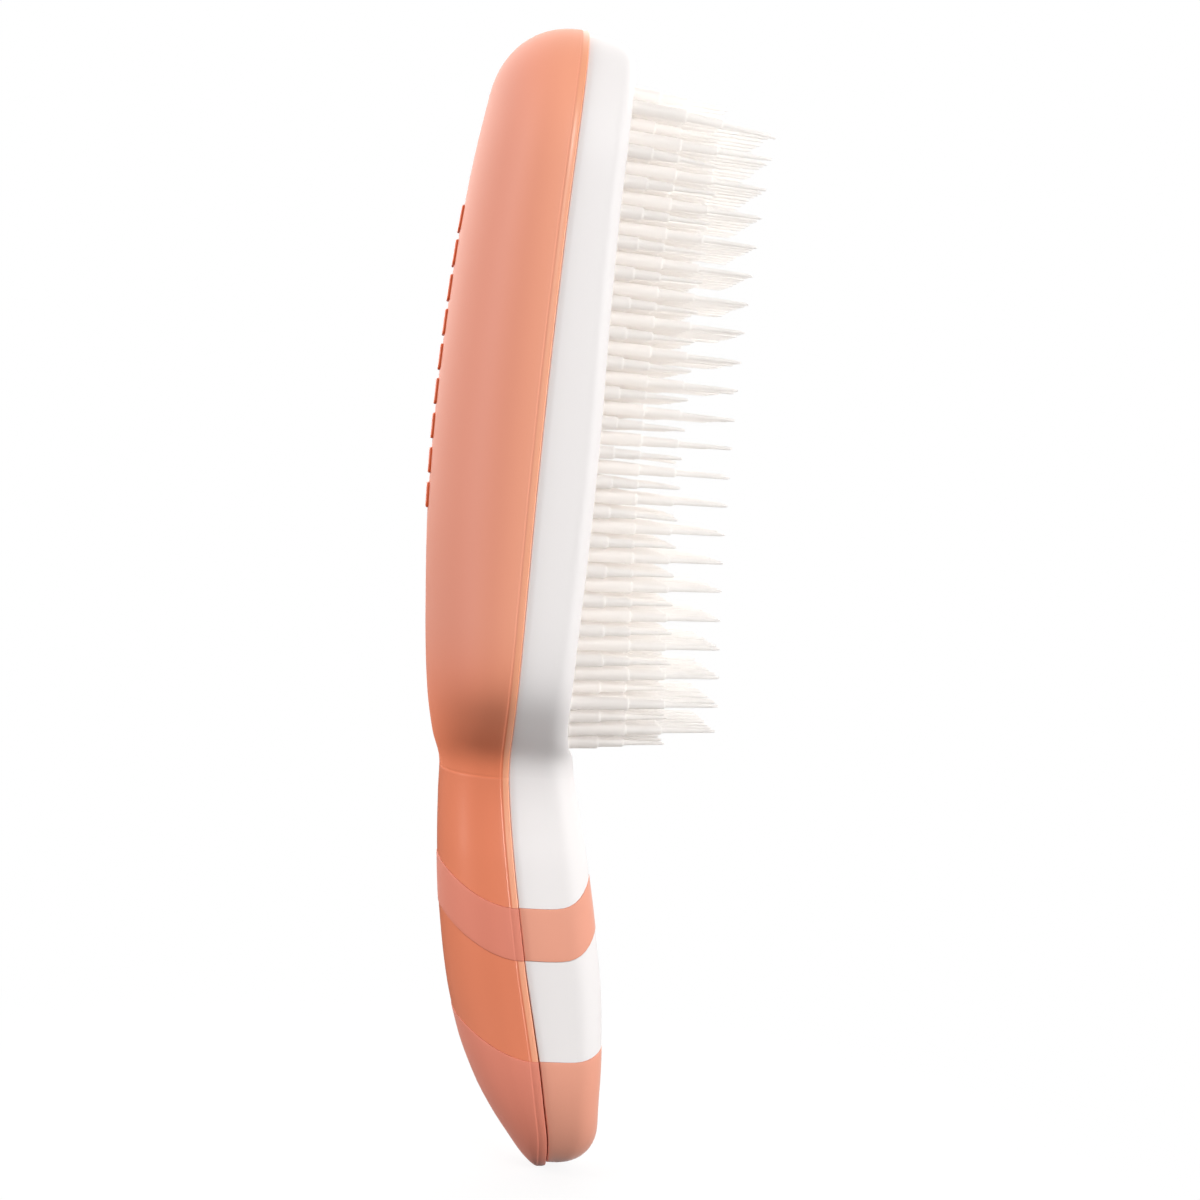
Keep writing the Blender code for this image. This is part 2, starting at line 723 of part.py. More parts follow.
def make_grips(back_cover, front_cover):
    band_low = grip_band_place - grip_band_height / 2
    band_high = grip_band_place + grip_band_height / 2
    front_low = bottom_z + rim_overhang
    back = (back_arch, back_arch_power, back_depth)
    front_band = (front_band_arch, front_arch_power, front_depth)
    front_end = (front_end_arch, front_arch_power, front_depth)
    for name, arch, low, high, has_end in (
        ("back_grip_band", back, band_low, band_high, False),
        ("back_grip_end", back, bottom_z, grip_end_place, True),
    ):
        make_grip(back_cover, name, rimmed_back_section, arch, back_grip_lift, low, high, has_end)
    for name, arch, low, high, has_end in (
        ("front_grip_band", front_band, band_low, band_high, False),
        ("front_grip_end", front_end, front_low, grip_end_place, True),
    ):
        make_grip(front_cover, name, front_section, arch, front_grip_lift, low, high, has_end)


for leftover in list(bpy.data.objects):
    bpy.data.objects.remove(leftover, do_unlink=True)
make_tooth_pad()
back_cover = make_back_cover()
front_cover = make_front_cover()
make_grips(back_cover, front_cover)
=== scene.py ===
# %% [markdown]
# # Styling brush
# A long two-colour brush stands upright: a coral back, a white front and a bed of stepped teeth. The CAD solids
# give every size. This lesson builds a finer skin over each of them, gives each skin the finish of the real
# moulding, and lights it softly on white. All lengths are in metres. +Z runs up the brush, the teeth point along
# +X, and Y runs across it.

# %% Load the CAD frame
import math
import random

import bmesh
import bpy
from mathutils import Matrix, Vector
from mathutils.geometry import delaunay_2d_cdt


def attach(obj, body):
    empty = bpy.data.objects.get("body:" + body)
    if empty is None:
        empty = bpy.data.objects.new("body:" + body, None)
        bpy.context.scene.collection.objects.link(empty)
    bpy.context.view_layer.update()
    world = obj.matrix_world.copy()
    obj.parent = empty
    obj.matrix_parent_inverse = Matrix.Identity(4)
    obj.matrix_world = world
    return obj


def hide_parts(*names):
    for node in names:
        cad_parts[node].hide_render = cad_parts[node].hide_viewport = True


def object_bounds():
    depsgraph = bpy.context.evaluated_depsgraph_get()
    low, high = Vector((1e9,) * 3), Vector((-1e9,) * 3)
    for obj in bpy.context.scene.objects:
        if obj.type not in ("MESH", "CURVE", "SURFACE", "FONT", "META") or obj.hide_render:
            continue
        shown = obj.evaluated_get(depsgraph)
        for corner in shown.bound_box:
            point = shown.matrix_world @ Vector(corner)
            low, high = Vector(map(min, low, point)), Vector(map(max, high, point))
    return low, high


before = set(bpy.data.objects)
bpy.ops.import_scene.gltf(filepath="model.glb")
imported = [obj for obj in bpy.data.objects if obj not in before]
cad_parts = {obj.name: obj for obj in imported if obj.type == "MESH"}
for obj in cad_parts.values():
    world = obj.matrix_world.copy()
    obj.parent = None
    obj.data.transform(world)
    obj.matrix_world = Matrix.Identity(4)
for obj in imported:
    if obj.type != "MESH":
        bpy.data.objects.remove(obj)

cad_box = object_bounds()
mm = 0.001
print("CAD box, mm:", [round(v / mm, 1) for corner in cad_box for v in corner])

# %% [markdown]
# ## The brush's own lines
# The shape is a few smooth lines along the brush: the seam, the half width, the depth behind the seam and the
# depth before it. The CAD source draws its solids from the same lines, so a skin drawn from them lies on the
# solids without any fitting. Only the neck and two end corners are eased here, by under a millimetre, for softer
# shading. Reading the solids' meshes back would work too, but their facets are coarse.

# %% Main sizes
head_length, handle_length, neck_z = 144.5 * mm, 80.2 * mm, 39 * mm
top_z, bottom_z = neck_z + head_length, neck_z - handle_length
head_round, handle_round, crown_round = 31.5 * mm, 24 * mm, 14 * mm
lip_round, lip_power, toe_round, toe_power = 8 * mm, 2.35, 10.5 * mm, 2.45
head_half, handle_half, neck_half = 30 * mm, 16.6 * mm, 14.6 * mm
back_depth, front_depth, seam_offset = 19.8 * mm, 15.2 * mm, 8.6 * mm
rim_height, rim_overhang = 1.8 * mm, 0.9 * mm
back_wall, corner_radius, side_draft = 1.8 * mm, 8 * mm, 0.6 * mm
outline_power, section_power = 2.6, 2.3

# %% Lines along the brush, as shares of those sizes. -1 is the handle's end, 0 the neck, 1 the head's top
handle_swell = (
    (-1.0, 0.9), (-0.72, 0.95), (-0.46, 1.0), (-0.22, 0.55), (-0.12, 0.19), (-0.062, 0.085), (-0.031, 0.125),
    (0.0, 0.25),
)
head_swell = (
    (0.0, 0.0325), (0.009, 0.0515), (0.018, 0.083), (0.028, 0.14), (0.0415, 0.262), (0.055, 0.40),
    (0.069, 0.53), (0.083, 0.65), (0.097, 0.76), (0.111, 0.845), (0.125, 0.905), (0.145, 0.955),
    (0.17, 0.983), (0.20, 0.997), (0.22, 1.0), (1.0, 1.0),
)
back_line = (
    (-1.0, 0.091), (-0.959, 0.253), (-0.911, 0.386), (-0.864, 0.500), (-0.765, 0.667), (-0.667, 0.763),
    (-0.543, 0.800), (-0.370, 0.788), (-0.222, 0.747), (-0.074, 0.692), (0.0, 0.667), (0.0415, 0.750),
    (0.097, 0.828), (0.208, 0.914), (0.367, 0.987), (0.4775, 1.0), (0.644, 0.980), (0.803, 0.919),
    (0.903, 0.848), (1.0, 0.783),
)
front_line = (
    (-1.0, 0.62), (-0.89, 0.68), (-0.80, 0.748), (-0.704, 0.836), (-0.605, 0.921), (-0.481, 0.993),
    (-0.358, 1.0), (-0.235, 0.987), (-0.111, 0.941), (-0.012, 0.875), (0.021, 0.842), (0.048, 0.757),
    (0.076, 0.711), (0.111, 0.697), (0.145, 0.697), (0.221, 0.711), (0.298, 0.730), (0.381, 0.740),
    (0.457, 0.737), (0.637, 0.684), (0.768, 0.651), (0.872, 0.635), (0.955, 0.605), (1.0, 0.595),
)
seam_line = (
    (-1.0, 1.0), (-0.901, 0.895), (-0.802, 0.709), (-0.704, 0.523), (-0.605, 0.308), (-0.481, 0.035),
    (-0.358, -0.198), (-0.235, -0.419), (-0.111, -0.616), (-0.012, -0.744), (0.048, -0.791),
    (0.145, -0.814), (0.318, -0.814), (0.491, -0.791), (0.699, -0.709), (0.837, -0.616), (1.0, -0.453),
)
corner_line = ((-1.0, 1.0), (0.0, 1.0), (0.014, 0.9), (0.05, 0.56), (0.2, 0.5), (1.0, 0.45))


def on_line(line, place):
    """A smooth curve through (place, share) pairs, read at one place."""
    places = [pair[0] for pair in line]
    values = [pair[1] for pair in line]
    place = min(max(place, places[0]), places[-1])
    steps = [b - a for a, b in zip(places, places[1:])]
    slopes = [(b - a) / step for a, b, step in zip(values, values[1:], steps)]
    pulls = [slopes[0]]
    for before, after in zip(slopes, slopes[1:]):
        pulls.append(2 * before * after / (before + after) if before * after > 0 else 0)
    pulls.append(slopes[-1])
    k = 0
    while k < len(steps) - 1 and place > places[k + 1]:
        k += 1
    t = (place - places[k]) / steps[k]
    bend = t * (1 - t) * steps[k] * ((1 - t) * pulls[k] - t * pulls[k + 1])
    return values[k] + (values[k + 1] - values[k]) * (3 - 2 * t) * t * t + bend


def tabled(line):
    """The same curve, read from a fine table, because it is asked for very often."""
    count = 4000
    table = [on_line(line, -1 + 2 * k / count) for k in range(count + 1)]

    def read(place):
        spot = min(max((place + 1) / 2 * count, 0), count - 1e-6)
        k = int(spot)
        return table[k] + (table[k + 1] - table[k]) * (spot - k)

    return read


read_handle_swell, read_head_swell = tabled(handle_swell), tabled(head_swell)
read_back, read_front, read_seam, read_corner = (
    tabled(line) for line in (back_line, front_line, seam_line, corner_line)
)

# %% The four lines, in metres at a height z


def place_of(z):
    return (z - neck_z) / (head_length if z > neck_z else handle_length)


def rounding(distance, length, power):
    """1 before a round end starts, falling to 0 where it ends."""
    share = min(max(distance / length, 0), 1)
    return (1 - share**power) ** (1 / power)


def seam_x(z):
    return seam_offset * read_seam(place_of(z))


def half_width(z, inset=0.0):
    swell, widest = (read_head_swell, head_half) if z > neck_z else (read_handle_swell, handle_half)
    width = neck_half + swell(place_of(z)) * (widest - neck_half) - inset
    top = rounding(z - (top_z - head_round), head_round - inset, outline_power)
    return width * top * rounding(bottom_z + handle_round - z, handle_round - inset, 2)


def back_reach(z, inset=0.0):
    depth = back_depth * read_back(place_of(z)) - rim_height
    crown = rounding(z - (top_z - crown_round), crown_round, section_power)
    return rim_height + max(depth * crown, 0) - inset


def front_reach(z, inset=0.0):
    depth = front_depth * read_front(place_of(z)) - inset
    lip = rounding(z - (top_z - rim_overhang - lip_round), lip_round - inset, lip_power)
    toe = rounding(bottom_z + rim_overhang + toe_round - z, toe_round - inset, toe_power)
    return depth * lip * toe


def drawn_in(z, inset):
    """Where a height goes when the whole outline is drawn in by inset: away from both round ends."""
    high = max(z - (top_z - head_round), 0) / head_round
    low = max(bottom_z + handle_round - z, 0) / handle_round
    return z - inset * high + inset * low


print("Head", round(2 * half_width(0.11) / mm, 1), "mm wide, grip", round(2 * half_width(0) / mm, 1), "mm wide")

# %% [markdown]
# ## Rows that follow the grips
# The soft grips cross the handle in arches. A skin looks cleanest where its rows of faces run along the edges of
# what lies on it, so the rows of both covers are bent into the same arches on the handle and are level on the
# head. Cutting the arches out of a level grid would work as well, and would leave slivers along each edge. Two more
# rows at the neck carry the witness line, the trace that a joint in the mould leaves on the plastic.

# %% Where the grips lie, and how far each row arches
band_low, band_high, tail_high, arch_end = 3.3 * mm, 13.5 * mm, -16.3 * mm, 36 * mm
back_arch, band_arch, tail_arch = 12.2 * mm, 6.2 * mm, 5.2 * mm
grip_gap, wall_run = 0.05 * mm, 0.03 * mm
back_seat, front_seat = 0.6 * mm, 0.7 * mm
back_lift, front_lift = 0.12 * mm, 0.08 * mm
witness_low, witness_high, witness_depth = 38.3 * mm, 38.7 * mm, 0.015 * mm
row_step, head_row_step, fine_rows_end = 1.2 * mm, 2.4 * mm, 70 * mm
round_end_gap, edge_clear, end_angle = 1 * mm, 0.25 * mm, 89.7


def smooth_step(value, start, end):
    t = min(max((value - start) / (end - start), 0), 1)
    return t * t * (3 - 2 * t)


def arch_at(base, on_tail, on_band):
    """How high a row arches that starts at this height on the seam."""
    if base < tail_high:
        t = max((base - bottom_z) / (tail_high - bottom_z), 0)
        return on_tail * t * (2 - t)
    rise = on_tail + (on_band - on_tail) * smooth_step(base, tail_high, band_low)
    return rise * (1 - smooth_step(base, band_high, arch_end))


def seat_at(base, depth):
    """How deep the surface lies below its plain line in this row: in a grip's seat, or in the witness line."""
    if base < tail_high or band_low < base < band_high:
        return depth
    return witness_depth if depth == back_seat and witness_low < base < witness_high else 0


def row_heights():
    """Base heights of the rows: close on the round ends, at the grips' edges and at the neck."""
    low = [bottom_z + handle_round * (1 - math.sin(math.radians(a))) for a in (end_angle, *range(89, 8, -4))]
    top_angles = [math.radians(a) for a in (*range(9, 90, 4), end_angle)]
    high = [top_z - head_round * (1 - math.sin(a) ** (2 / outline_power)) for a in top_angles]
    middle = []
    z = low[-1] + row_step
    while z < high[0] - round_end_gap:
        middle.append(z)
        z += row_step if z < fine_rows_end else head_row_step
    edges = []
    for edge, inward in ((tail_high, -1), (band_low, 1), (band_high, -1), (witness_low, 1), (witness_high, -1)):
        edges += [edge - inward * wall_run, edge + inward * wall_run]
    plain = [z for z in low + middle + high if min(abs(z - edge) for edge in edges) > edge_clear]
    return sorted(plain + edges)


heights = row_heights()
print(len(heights), "rows from", round(heights[0] / mm, 1), "to", round(heights[-1] / mm, 1), "mm")

# %% [markdown]
# ## Helpers that make meshes
# A cover is a sheet of faces over a grid of points, closed with a second sheet inside it. Both are made by the
# same few lines, and every piece hangs from the root and hides the CAD node that it stands for.

# %% Sheets, skins and pieces


def sheet(mesh_data, rows):
    """Faces over rows of points. It gives back the grid of vertices."""
    grid = [[mesh_data.verts.new(point) for point in row] for row in rows]
    for low, high in zip(grid, grid[1:]):
        for k in range(len(low) - 1):
            mesh_data.faces.new((low[k], low[k + 1], high[k + 1], high[k]))
    return grid


def close_sides(mesh_data, outer, inner):
    """Faces between the side edges of two sheets with the same number of rows."""
    for side in (0, -1):
        for k in range(len(outer) - 1):
            mesh_data.faces.new((outer[k][side], outer[k + 1][side], inner[k + 1][side], inner[k][side]))


def close_end(mesh_data, outer, inner):
    """Two caps and the strip between them, at a round end of a cover."""
    mesh_data.faces.new(outer)
    mesh_data.faces.new(inner)
    mesh_data.faces.new((outer[0], outer[-1], inner[-1], inner[0]))


def make_piece(name, mesh_data, node, sharp_degrees=42):
    """A named mesh object that stands for a CAD node."""
    bmesh.ops.recalc_face_normals(mesh_data, faces=mesh_data.faces)
    mesh = bpy.data.meshes.new(name)
    mesh_data.to_mesh(mesh)
    mesh_data.free()
    mesh.shade_smooth()
    mesh.set_sharp_from_angle(angle=math.radians(sharp_degrees))
    piece = bpy.data.objects.new(name, mesh)
    bpy.context.scene.collection.objects.link(piece)
    if node:
        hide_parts(node)
    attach(piece, "root")
    print(name, len(mesh.polygons), "faces")
    return piece


# %% [markdown]
# ## The back cover
# The coral back is one moulding with a bead along its rim. The crown's edge steps down to the bead over a small
# rounding, which catches a thin bright line, and the bead then slopes away to the seam. Its profile is drawn point
# by point, and the crown behind it is a squarish arch.

# %% Points across the back: the bead's profile as (out, behind), then the crown as (across, behind) shares
crown_step = 0.04 * mm
bead_profile = tuple((out * mm, behind * mm) for out, behind in (
    (-0.80, 0), (-0.66, 0.02), (-0.57, 0.08), (-0.50, 0.17), (-0.44, 0.30), (-0.35, 0.52), (-0.28, 0.75),
    (-0.24, 0.98), (-0.222, 1.20), (-0.218, 1.38), (-0.212, 1.48), (-0.19, 1.56), (-0.15, 1.63), (-0.10, 1.69),
    (-0.06, 1.75),
))
crown_steps, tip_round, least_tip = 84, 1.6 * mm, 0.25
least_side, least_crown_side, bead_squeeze = 0.3 * mm, 0.2 * mm, 3 * mm


def tip_share(z):
    """1 along the rim, and less at the handle's very end, where the rim's two edges meet in a round tip."""
    return max(rounding(bottom_z + tip_round - z, tip_round, 2), least_tip)


def crown_curve(steps):
    curve = []
    for k in range(steps + 1):
        angle = math.pi * k / steps
        across = -math.copysign(abs(math.cos(angle)) ** (2 / section_power), math.cos(angle))
        curve.append((across, math.sin(angle) ** (2 / section_power)))
    return curve


bead_columns = [(-1, out, behind, None) for out, behind in bead_profile]
far_bead_columns = [(1, out, behind, None) for out, behind in reversed(bead_profile)]
crown_columns = [(across, 0, 0, behind) for across, behind in crown_curve(crown_steps)]
back_columns = bead_columns + crown_columns + far_bead_columns
inner_back_columns = [(-1, 0, 0, None)] + crown_columns[::4] + [(1, 0, 0, None)]


def back_point(z, column, inset):
    """The point of the back's surface at a height and a column, drawn in by inset."""
    across, out, behind, crown = column
    if crown is None:
        z = drawn_in(z, inset)
        side = max(half_width(z, inset), least_side)
        squeeze = min(side / bead_squeeze, 1)
        thinner, tip = (rim_height - inset) / rim_height, tip_share(z)
        drawn = rim_height / 2 * (1 - tip) + behind * tip
        return Vector((seam_x(z) - drawn * thinner, across * (side + out * squeeze), z))
    z = drawn_in(z, inset + crown_step)
    side = max(half_width(z, inset + crown_step), least_crown_side)
    bead, tip = rim_height - inset, tip_share(z)
    drawn = bead / 2 * (1 - tip) + bead * tip
    return Vector((seam_x(z) - drawn - (back_reach(z, inset) - bead) * crown, side * across, z))


def back_row(base, inset, columns=back_columns):
    """A row of points that starts level on the rim and arches over the crown."""
    arch = arch_at(base, back_arch, back_arch)
    row = []
    for column in columns:
        behind = column[2] if column[3] is None else rim_height + (back_reach(base) - rim_height) * column[3]
        row.append(back_point(base + arch * (behind / back_depth) ** 2, column, inset))
    return row


# %% Build the back cover
back_mesh = bmesh.new()
outer_grid = sheet(back_mesh, [back_row(base, seat_at(base, back_seat)) for base in heights])
inner_grid = sheet(back_mesh, [back_row(base, back_wall, inner_back_columns) for base in heights])
close_sides(back_mesh, outer_grid, inner_grid)
for end in (0, -1):
    close_end(back_mesh, outer_grid[end], inner_grid[end])
back_shell = make_piece("back_shell", back_mesh, "back_cover")

# %% [markdown]
# ## The front cover
# The white front is a boxy shell with soft corners. Across it a point is told by u, which runs from the middle of
# the front over the corner and down the side wall to the seam. The head has a window for the teeth. Its edge is
# worked into the grid of faces with a constrained triangulation, which keeps the surface round it clean. A
# Boolean cut would be shorter to write, and would leave no room for the small rounding along the edge.

# %% Points across the front
face_u, corner_u, wall_u, edge_u = 24 * mm, 30 * mm, 38 * mm, 40 * mm
edge_round, tongue_inset, tongue_reach = 0.2 * mm, 1.2 * mm, 1.3 * mm
tongue_u, tongue_squeeze = edge_u + 1.5 * mm, 4 * mm
least_depth, least_radius, radius_share = 0.45 * mm, 0.1 * mm, 0.7
gap_closed, gap_growth, gap_low, gap_high = 0.04 * mm, 0.24 * mm, -38 * mm, 32 * mm


def seam_gap(z):
    """The open line between the covers: closed on the head, and wider towards the handle's end."""
    return gap_closed + gap_growth * (1 - smooth_step(z, gap_low, gap_high))


def front_box(z, inset):
    """Side, depth, corner radius and draft of the front's section at one height."""
    side = max(half_width(z, rim_overhang + inset), least_side)
    depth = max(front_reach(z, inset), least_depth)
    radius = corner_radius * read_corner(place_of(z)) - inset
    radius = max(min(radius, depth / 2, side * radius_share), least_radius)
    return side, depth, radius, side_draft * min(depth / front_depth, 1)


def front_point(z, u, inset):
    """The point of the front's surface at a height and a distance u from its middle line."""
    z = drawn_in(z, rim_overhang + inset)
    side, depth, radius, draft = front_box(z, inset)
    base = seam_x(z)
    gap = min(seam_gap(z), depth / 4)
    edge = min(edge_round, depth / 4)
    flat = side - draft - radius
    across = abs(u)
    if across <= face_u:
        y, x = flat * across / face_u, depth
    elif across <= corner_u:
        turn = math.pi / 2 * (across - face_u) / (corner_u - face_u)
        y, x = flat + radius * math.sin(turn), depth - radius + radius * math.cos(turn)
    elif across <= wall_u:
        t = (across - corner_u) / (wall_u - corner_u)
        y, x = side - draft * (1 - t), (depth - radius) * (1 - t) + (gap + edge) * t
    elif across <= edge_u:
        turn = math.pi / 2 * (across - wall_u) / (edge_u - wall_u)
        y, x = side - edge * (1 - math.cos(turn)), gap + edge * (1 - math.sin(turn))
    else:
        tuck = min(tongue_inset, side * 0.5)
        y, x = side - tuck, gap if across < tongue_u else -tongue_reach * min(side / tongue_squeeze, 1)
    return Vector((base + x, math.copysign(y, u), z))


half_columns = (
    [face_u * k / 14 for k in range(15)]
    + [face_u + (corner_u - face_u) * k / 9 for k in range(1, 10)]
    + [corner_u + (wall_u - corner_u) * k / 5 for k in range(1, 6)]
    + [wall_u + (edge_u - wall_u) * k / 3 for k in range(1, 4)]
)
grip_columns = [-u for u in reversed(half_columns[1:])] + half_columns
tongue_columns = [edge_u + 1 * mm, edge_u + 2 * mm]
front_columns = [-u for u in reversed(tongue_columns)] + grip_columns + tongue_columns


def bent(base, u):
    """The height of a row at u: level along the side wall, then up over the corner."""
    arch = arch_at(base, tail_arch, band_arch)
    if arch == 0:
        return base
    reach = (front_point(base, u, 0).x - seam_x(base)) / front_depth
    return base + arch * max(reach, 0) ** 5


# %% The window's outline
lip_width, window_low, window_high = 4 * mm, neck_z + 4.5 * mm, top_z - 10.1 * mm
window_half = head_half - rim_overhang - lip_width
loop_rounds, loop_step = 6, 0.9 * mm
window_line = (
    (0.0, 0.43), (0.003, 0.475), (0.007, 0.517), (0.0107, 0.55), (0.0145, 0.572), (0.0215, 0.60),
    (0.033, 0.67), (0.045, 0.73), (0.0566, 0.785), (0.0665, 0.83), (0.078, 0.88), (0.0867, 0.905),
    (0.10, 0.93), (0.12, 0.96), (0.14, 0.985), (0.152, 0.999), (0.18, 1.0), (0.24, 1.0), (0.32, 1.0),
    (0.41, 1.0), (0.50, 1.0), (0.60, 1.0), (0.70, 1.0), (0.78, 1.0), (0.86, 1.0),
    (0.88, 1.0), (0.893, 0.998), (0.901, 0.985), (0.912, 0.968), (0.925, 0.95), (0.94, 0.93),
    (0.952, 0.913), (0.9575, 0.90), (0.966, 0.88), (0.974, 0.85), (0.98, 0.82), (0.987, 0.78),
    (0.992, 0.735), (0.996, 0.68), (1.0, 0.60),
)


def round_loop(points, rounds, length):
    """A closed outline, evened out to short steps and smoothed, so that its corners are round."""
    total = sum((a - b).length for a, b in zip(points, points[1:] + points[:1]))
    count = int(total / length)
    steps, k, loop = total / count, 0, []
    spot = points[0].copy()
    ring = points + points[:1]
    for _ in range(count):
        loop.append(spot.copy())
        left = steps
        while left > (ring[k + 1] - spot).length:
            left -= (ring[k + 1] - spot).length
            k = (k + 1) % (len(ring) - 1)
            spot = ring[k].copy()
        spot += (ring[k + 1] - spot).normalized() * left
    for _ in range(rounds):
        loop = [(loop[k - 1] + loop[k] * 2 + loop[(k + 1) % count]) / 4 for k in range(count)]
    return loop


def window_loop():
    right = [Vector((window_half * share, window_low + place * (window_high - window_low)))
             for place, share in window_line]
    left = [Vector((-p.x, p.y)) for p in reversed(right)]
    return round_loop(right + left, loop_rounds, loop_step)


def grown(loop, offset):
    """The outline moved outwards by offset, square to itself."""
    moved = []
    for k, point in enumerate(loop):
        along = (loop[(k + 1) % len(loop)] - loop[k - 1]).normalized()
        moved.append(point + Vector((along.y, -along.x)) * offset)
    return moved


window = window_loop()
print("Window loop of", len(window), "points")

# %% Put the window into the front's grid


def on_front(point):
    """The (u, base) of a window point (y, z) on the front's surface."""
    y, z = abs(point.x), point.y
    start = top_z - head_round
    if z > start:
        base = (z - rim_overhang * start / head_round) / (1 - rim_overhang / head_round)
    else:
        base = z
    side, _, radius, draft = front_box(z, 0)
    flat = side - draft - radius
    if y <= flat:
        u = face_u * y / flat
    else:
        u = face_u + (corner_u - face_u) * math.asin(min((y - flat) / radius, 1)) / (math.pi / 2)
    return Vector((math.copysign(u, point.x), base))


def inside(point, loop):
    """Whether a point lies inside a closed outline."""
    hit = False
    for a, b in zip(loop, loop[1:] + loop[:1]):
        if (a.y > point.y) != (b.y > point.y):
            if point.x < a.x + (point.y - a.y) * (b.x - a.x) / (b.y - a.y):
                hit = not hit
    return hit


lip_edge, ring_width = 0.45 * mm, 0.35 * mm
rim_loop = [on_front(p) for p in grown(window, lip_edge)]
keep_clear = [on_front(p) for p in grown(window, lip_edge + ring_width)]
clear_low, clear_high = min(p.y for p in keep_clear), max(p.y for p in keep_clear)
front_mesh = bmesh.new()
front_grid, blocked = {}, set()
for i, base in enumerate(heights):
    near = clear_low <= base <= clear_high
    for j, u in enumerate(front_columns):
        if near and abs(u) < corner_u and inside(Vector((u, base)), keep_clear):
            blocked.add((i, j))
        else:
            spot = front_point(bent(base, u), u, seat_at(base, front_seat) if abs(u) <= edge_u else 0)
            front_grid[i, j] = front_mesh.verts.new(spot)

open_cells, tongue_faces = set(), []
for i in range(len(heights) - 1):
    for j in range(len(front_columns) - 1):
        corners = ((i, j), (i, j + 1), (i + 1, j + 1), (i + 1, j))
        if any(corner in blocked for corner in corners):
            open_cells.add((i, j))
        else:
            front_mesh.faces.new([front_grid[corner] for corner in corners])
            if max(abs(front_columns[j]), abs(front_columns[j + 1])) > tongue_u:
                tongue_faces.append(len(front_mesh.faces) - 1)
for i in (0, len(heights) - 1):
    front_mesh.faces.new([front_grid[i, j] for j in range(len(front_columns))])
print(len(open_cells), "cells are left open round the window")

# %% Fill the ring between the grid and the window, then round the edge and go down to the bed
ring_keys = sorted({key for i, j in open_cells for key in ((i, j), (i, j + 1), (i + 1, j), (i + 1, j + 1))
                    if key in front_grid})
ring_number = {key: k for k, key in enumerate(ring_keys)}
ring_points = [Vector((front_columns[j], heights[i])) for i, j in ring_keys]
ring_edges = []
for i, j in open_cells:
    for a, b, beside in (((i, j), (i, j + 1), (i - 1, j)), ((i + 1, j), (i + 1, j + 1), (i + 1, j)),
                         ((i, j), (i + 1, j), (i, j - 1)), ((i, j + 1), (i + 1, j + 1), (i, j + 1))):
        if beside not in open_cells and a in ring_number and b in ring_number:
            ring_edges.append((ring_number[a], ring_number[b]))
first_loop = len(ring_points)
ring_points += rim_loop
ring_edges += [(first_loop + k, first_loop + (k + 1) % len(rim_loop)) for k in range(len(rim_loop))]
flat_ring = delaunay_2d_cdt(ring_points, ring_edges, [], 0, 1e-8)
rim_verts = [front_mesh.verts.new(front_point(p.y, p.x, 0)) for p in rim_loop]
source_of = [min(sources) for sources in flat_ring[3]]


def ring_vertex(k):
    source = source_of[k]
    return rim_verts[source - first_loop] if source >= first_loop else front_grid[ring_keys[source]]


def cell_of(point):
    i = sum(1 for base in heights if base <= point.y) - 1
    j = sum(1 for u in front_columns if u <= point.x) - 1
    return i, j


for face in flat_ring[2]:
    middle = sum((flat_ring[0][k] for k in face), Vector((0, 0))) / len(face)
    if cell_of(middle) in open_cells and not inside(middle, rim_loop):
        front_mesh.faces.new([ring_vertex(k) for k in face])

# %% The tooth bed's curve, and the rounded edge of the window
pad_recess, pad_rise, lean_share = 3.1 * mm, 3.3 * mm, 0.7
wall_below_bed, front_wall = 0.8 * mm, 1 * mm
window_middle = (window_low + window_high) / 2
bed_middle = seam_x(window_middle) + front_depth * read_front(place_of(window_middle)) - pad_recess


def bed_x(z):
    place = (z - window_middle) / (window_high - window_middle)
    return bed_middle + pad_rise * place**2


def bed_lean(z):
    """A tooth's tilt: most of the way to square to the bed."""
    place = (z - window_middle) / (window_high - window_middle)
    return -lean_share * math.atan(2 * pad_rise * place / (window_high - window_middle))


before = rim_verts
for turn in (22, 45, 68, 90, None):
    share = 1 if turn is None else math.sin(math.radians(turn))
    line = grown(window, lip_edge * (1 - share))
    after = []
    for k, point in enumerate(line):
        surface = rim_verts[k].co.x
        drop = lip_edge * (1 - math.cos(math.radians(turn or 90)))
        x = bed_x(point.y) - wall_below_bed if turn is None else surface - drop
        after.append(front_mesh.verts.new((x, point.x, point.y)))
    for k in range(len(line)):
        following = (k + 1) % len(line)
        front_mesh.faces.new((before[k], before[following], after[following], after[k]))
    before = after
front_shell = make_piece("front_shell", front_mesh, "front_cover", 50)
thickness = front_shell.modifiers.new("wall", "SOLIDIFY")
thickness.thickness = front_wall
thickness.offset = -1

# %% [markdown]
# ## The soft grips
# Each grip is a thin moulded skin that lies in its seat and stands a hair proud of the glossy cover. Its edge is
# rounded by a few tenths of a millimetre, which is what draws the fine bright line that tells the eye that one
# material stops and another begins.

# %% Build the four grips
grip_edge, grip_foot, grip_back, grip_row_gap = 0.12 * mm, 0.1 * mm, 0.05 * mm, 0.2 * mm


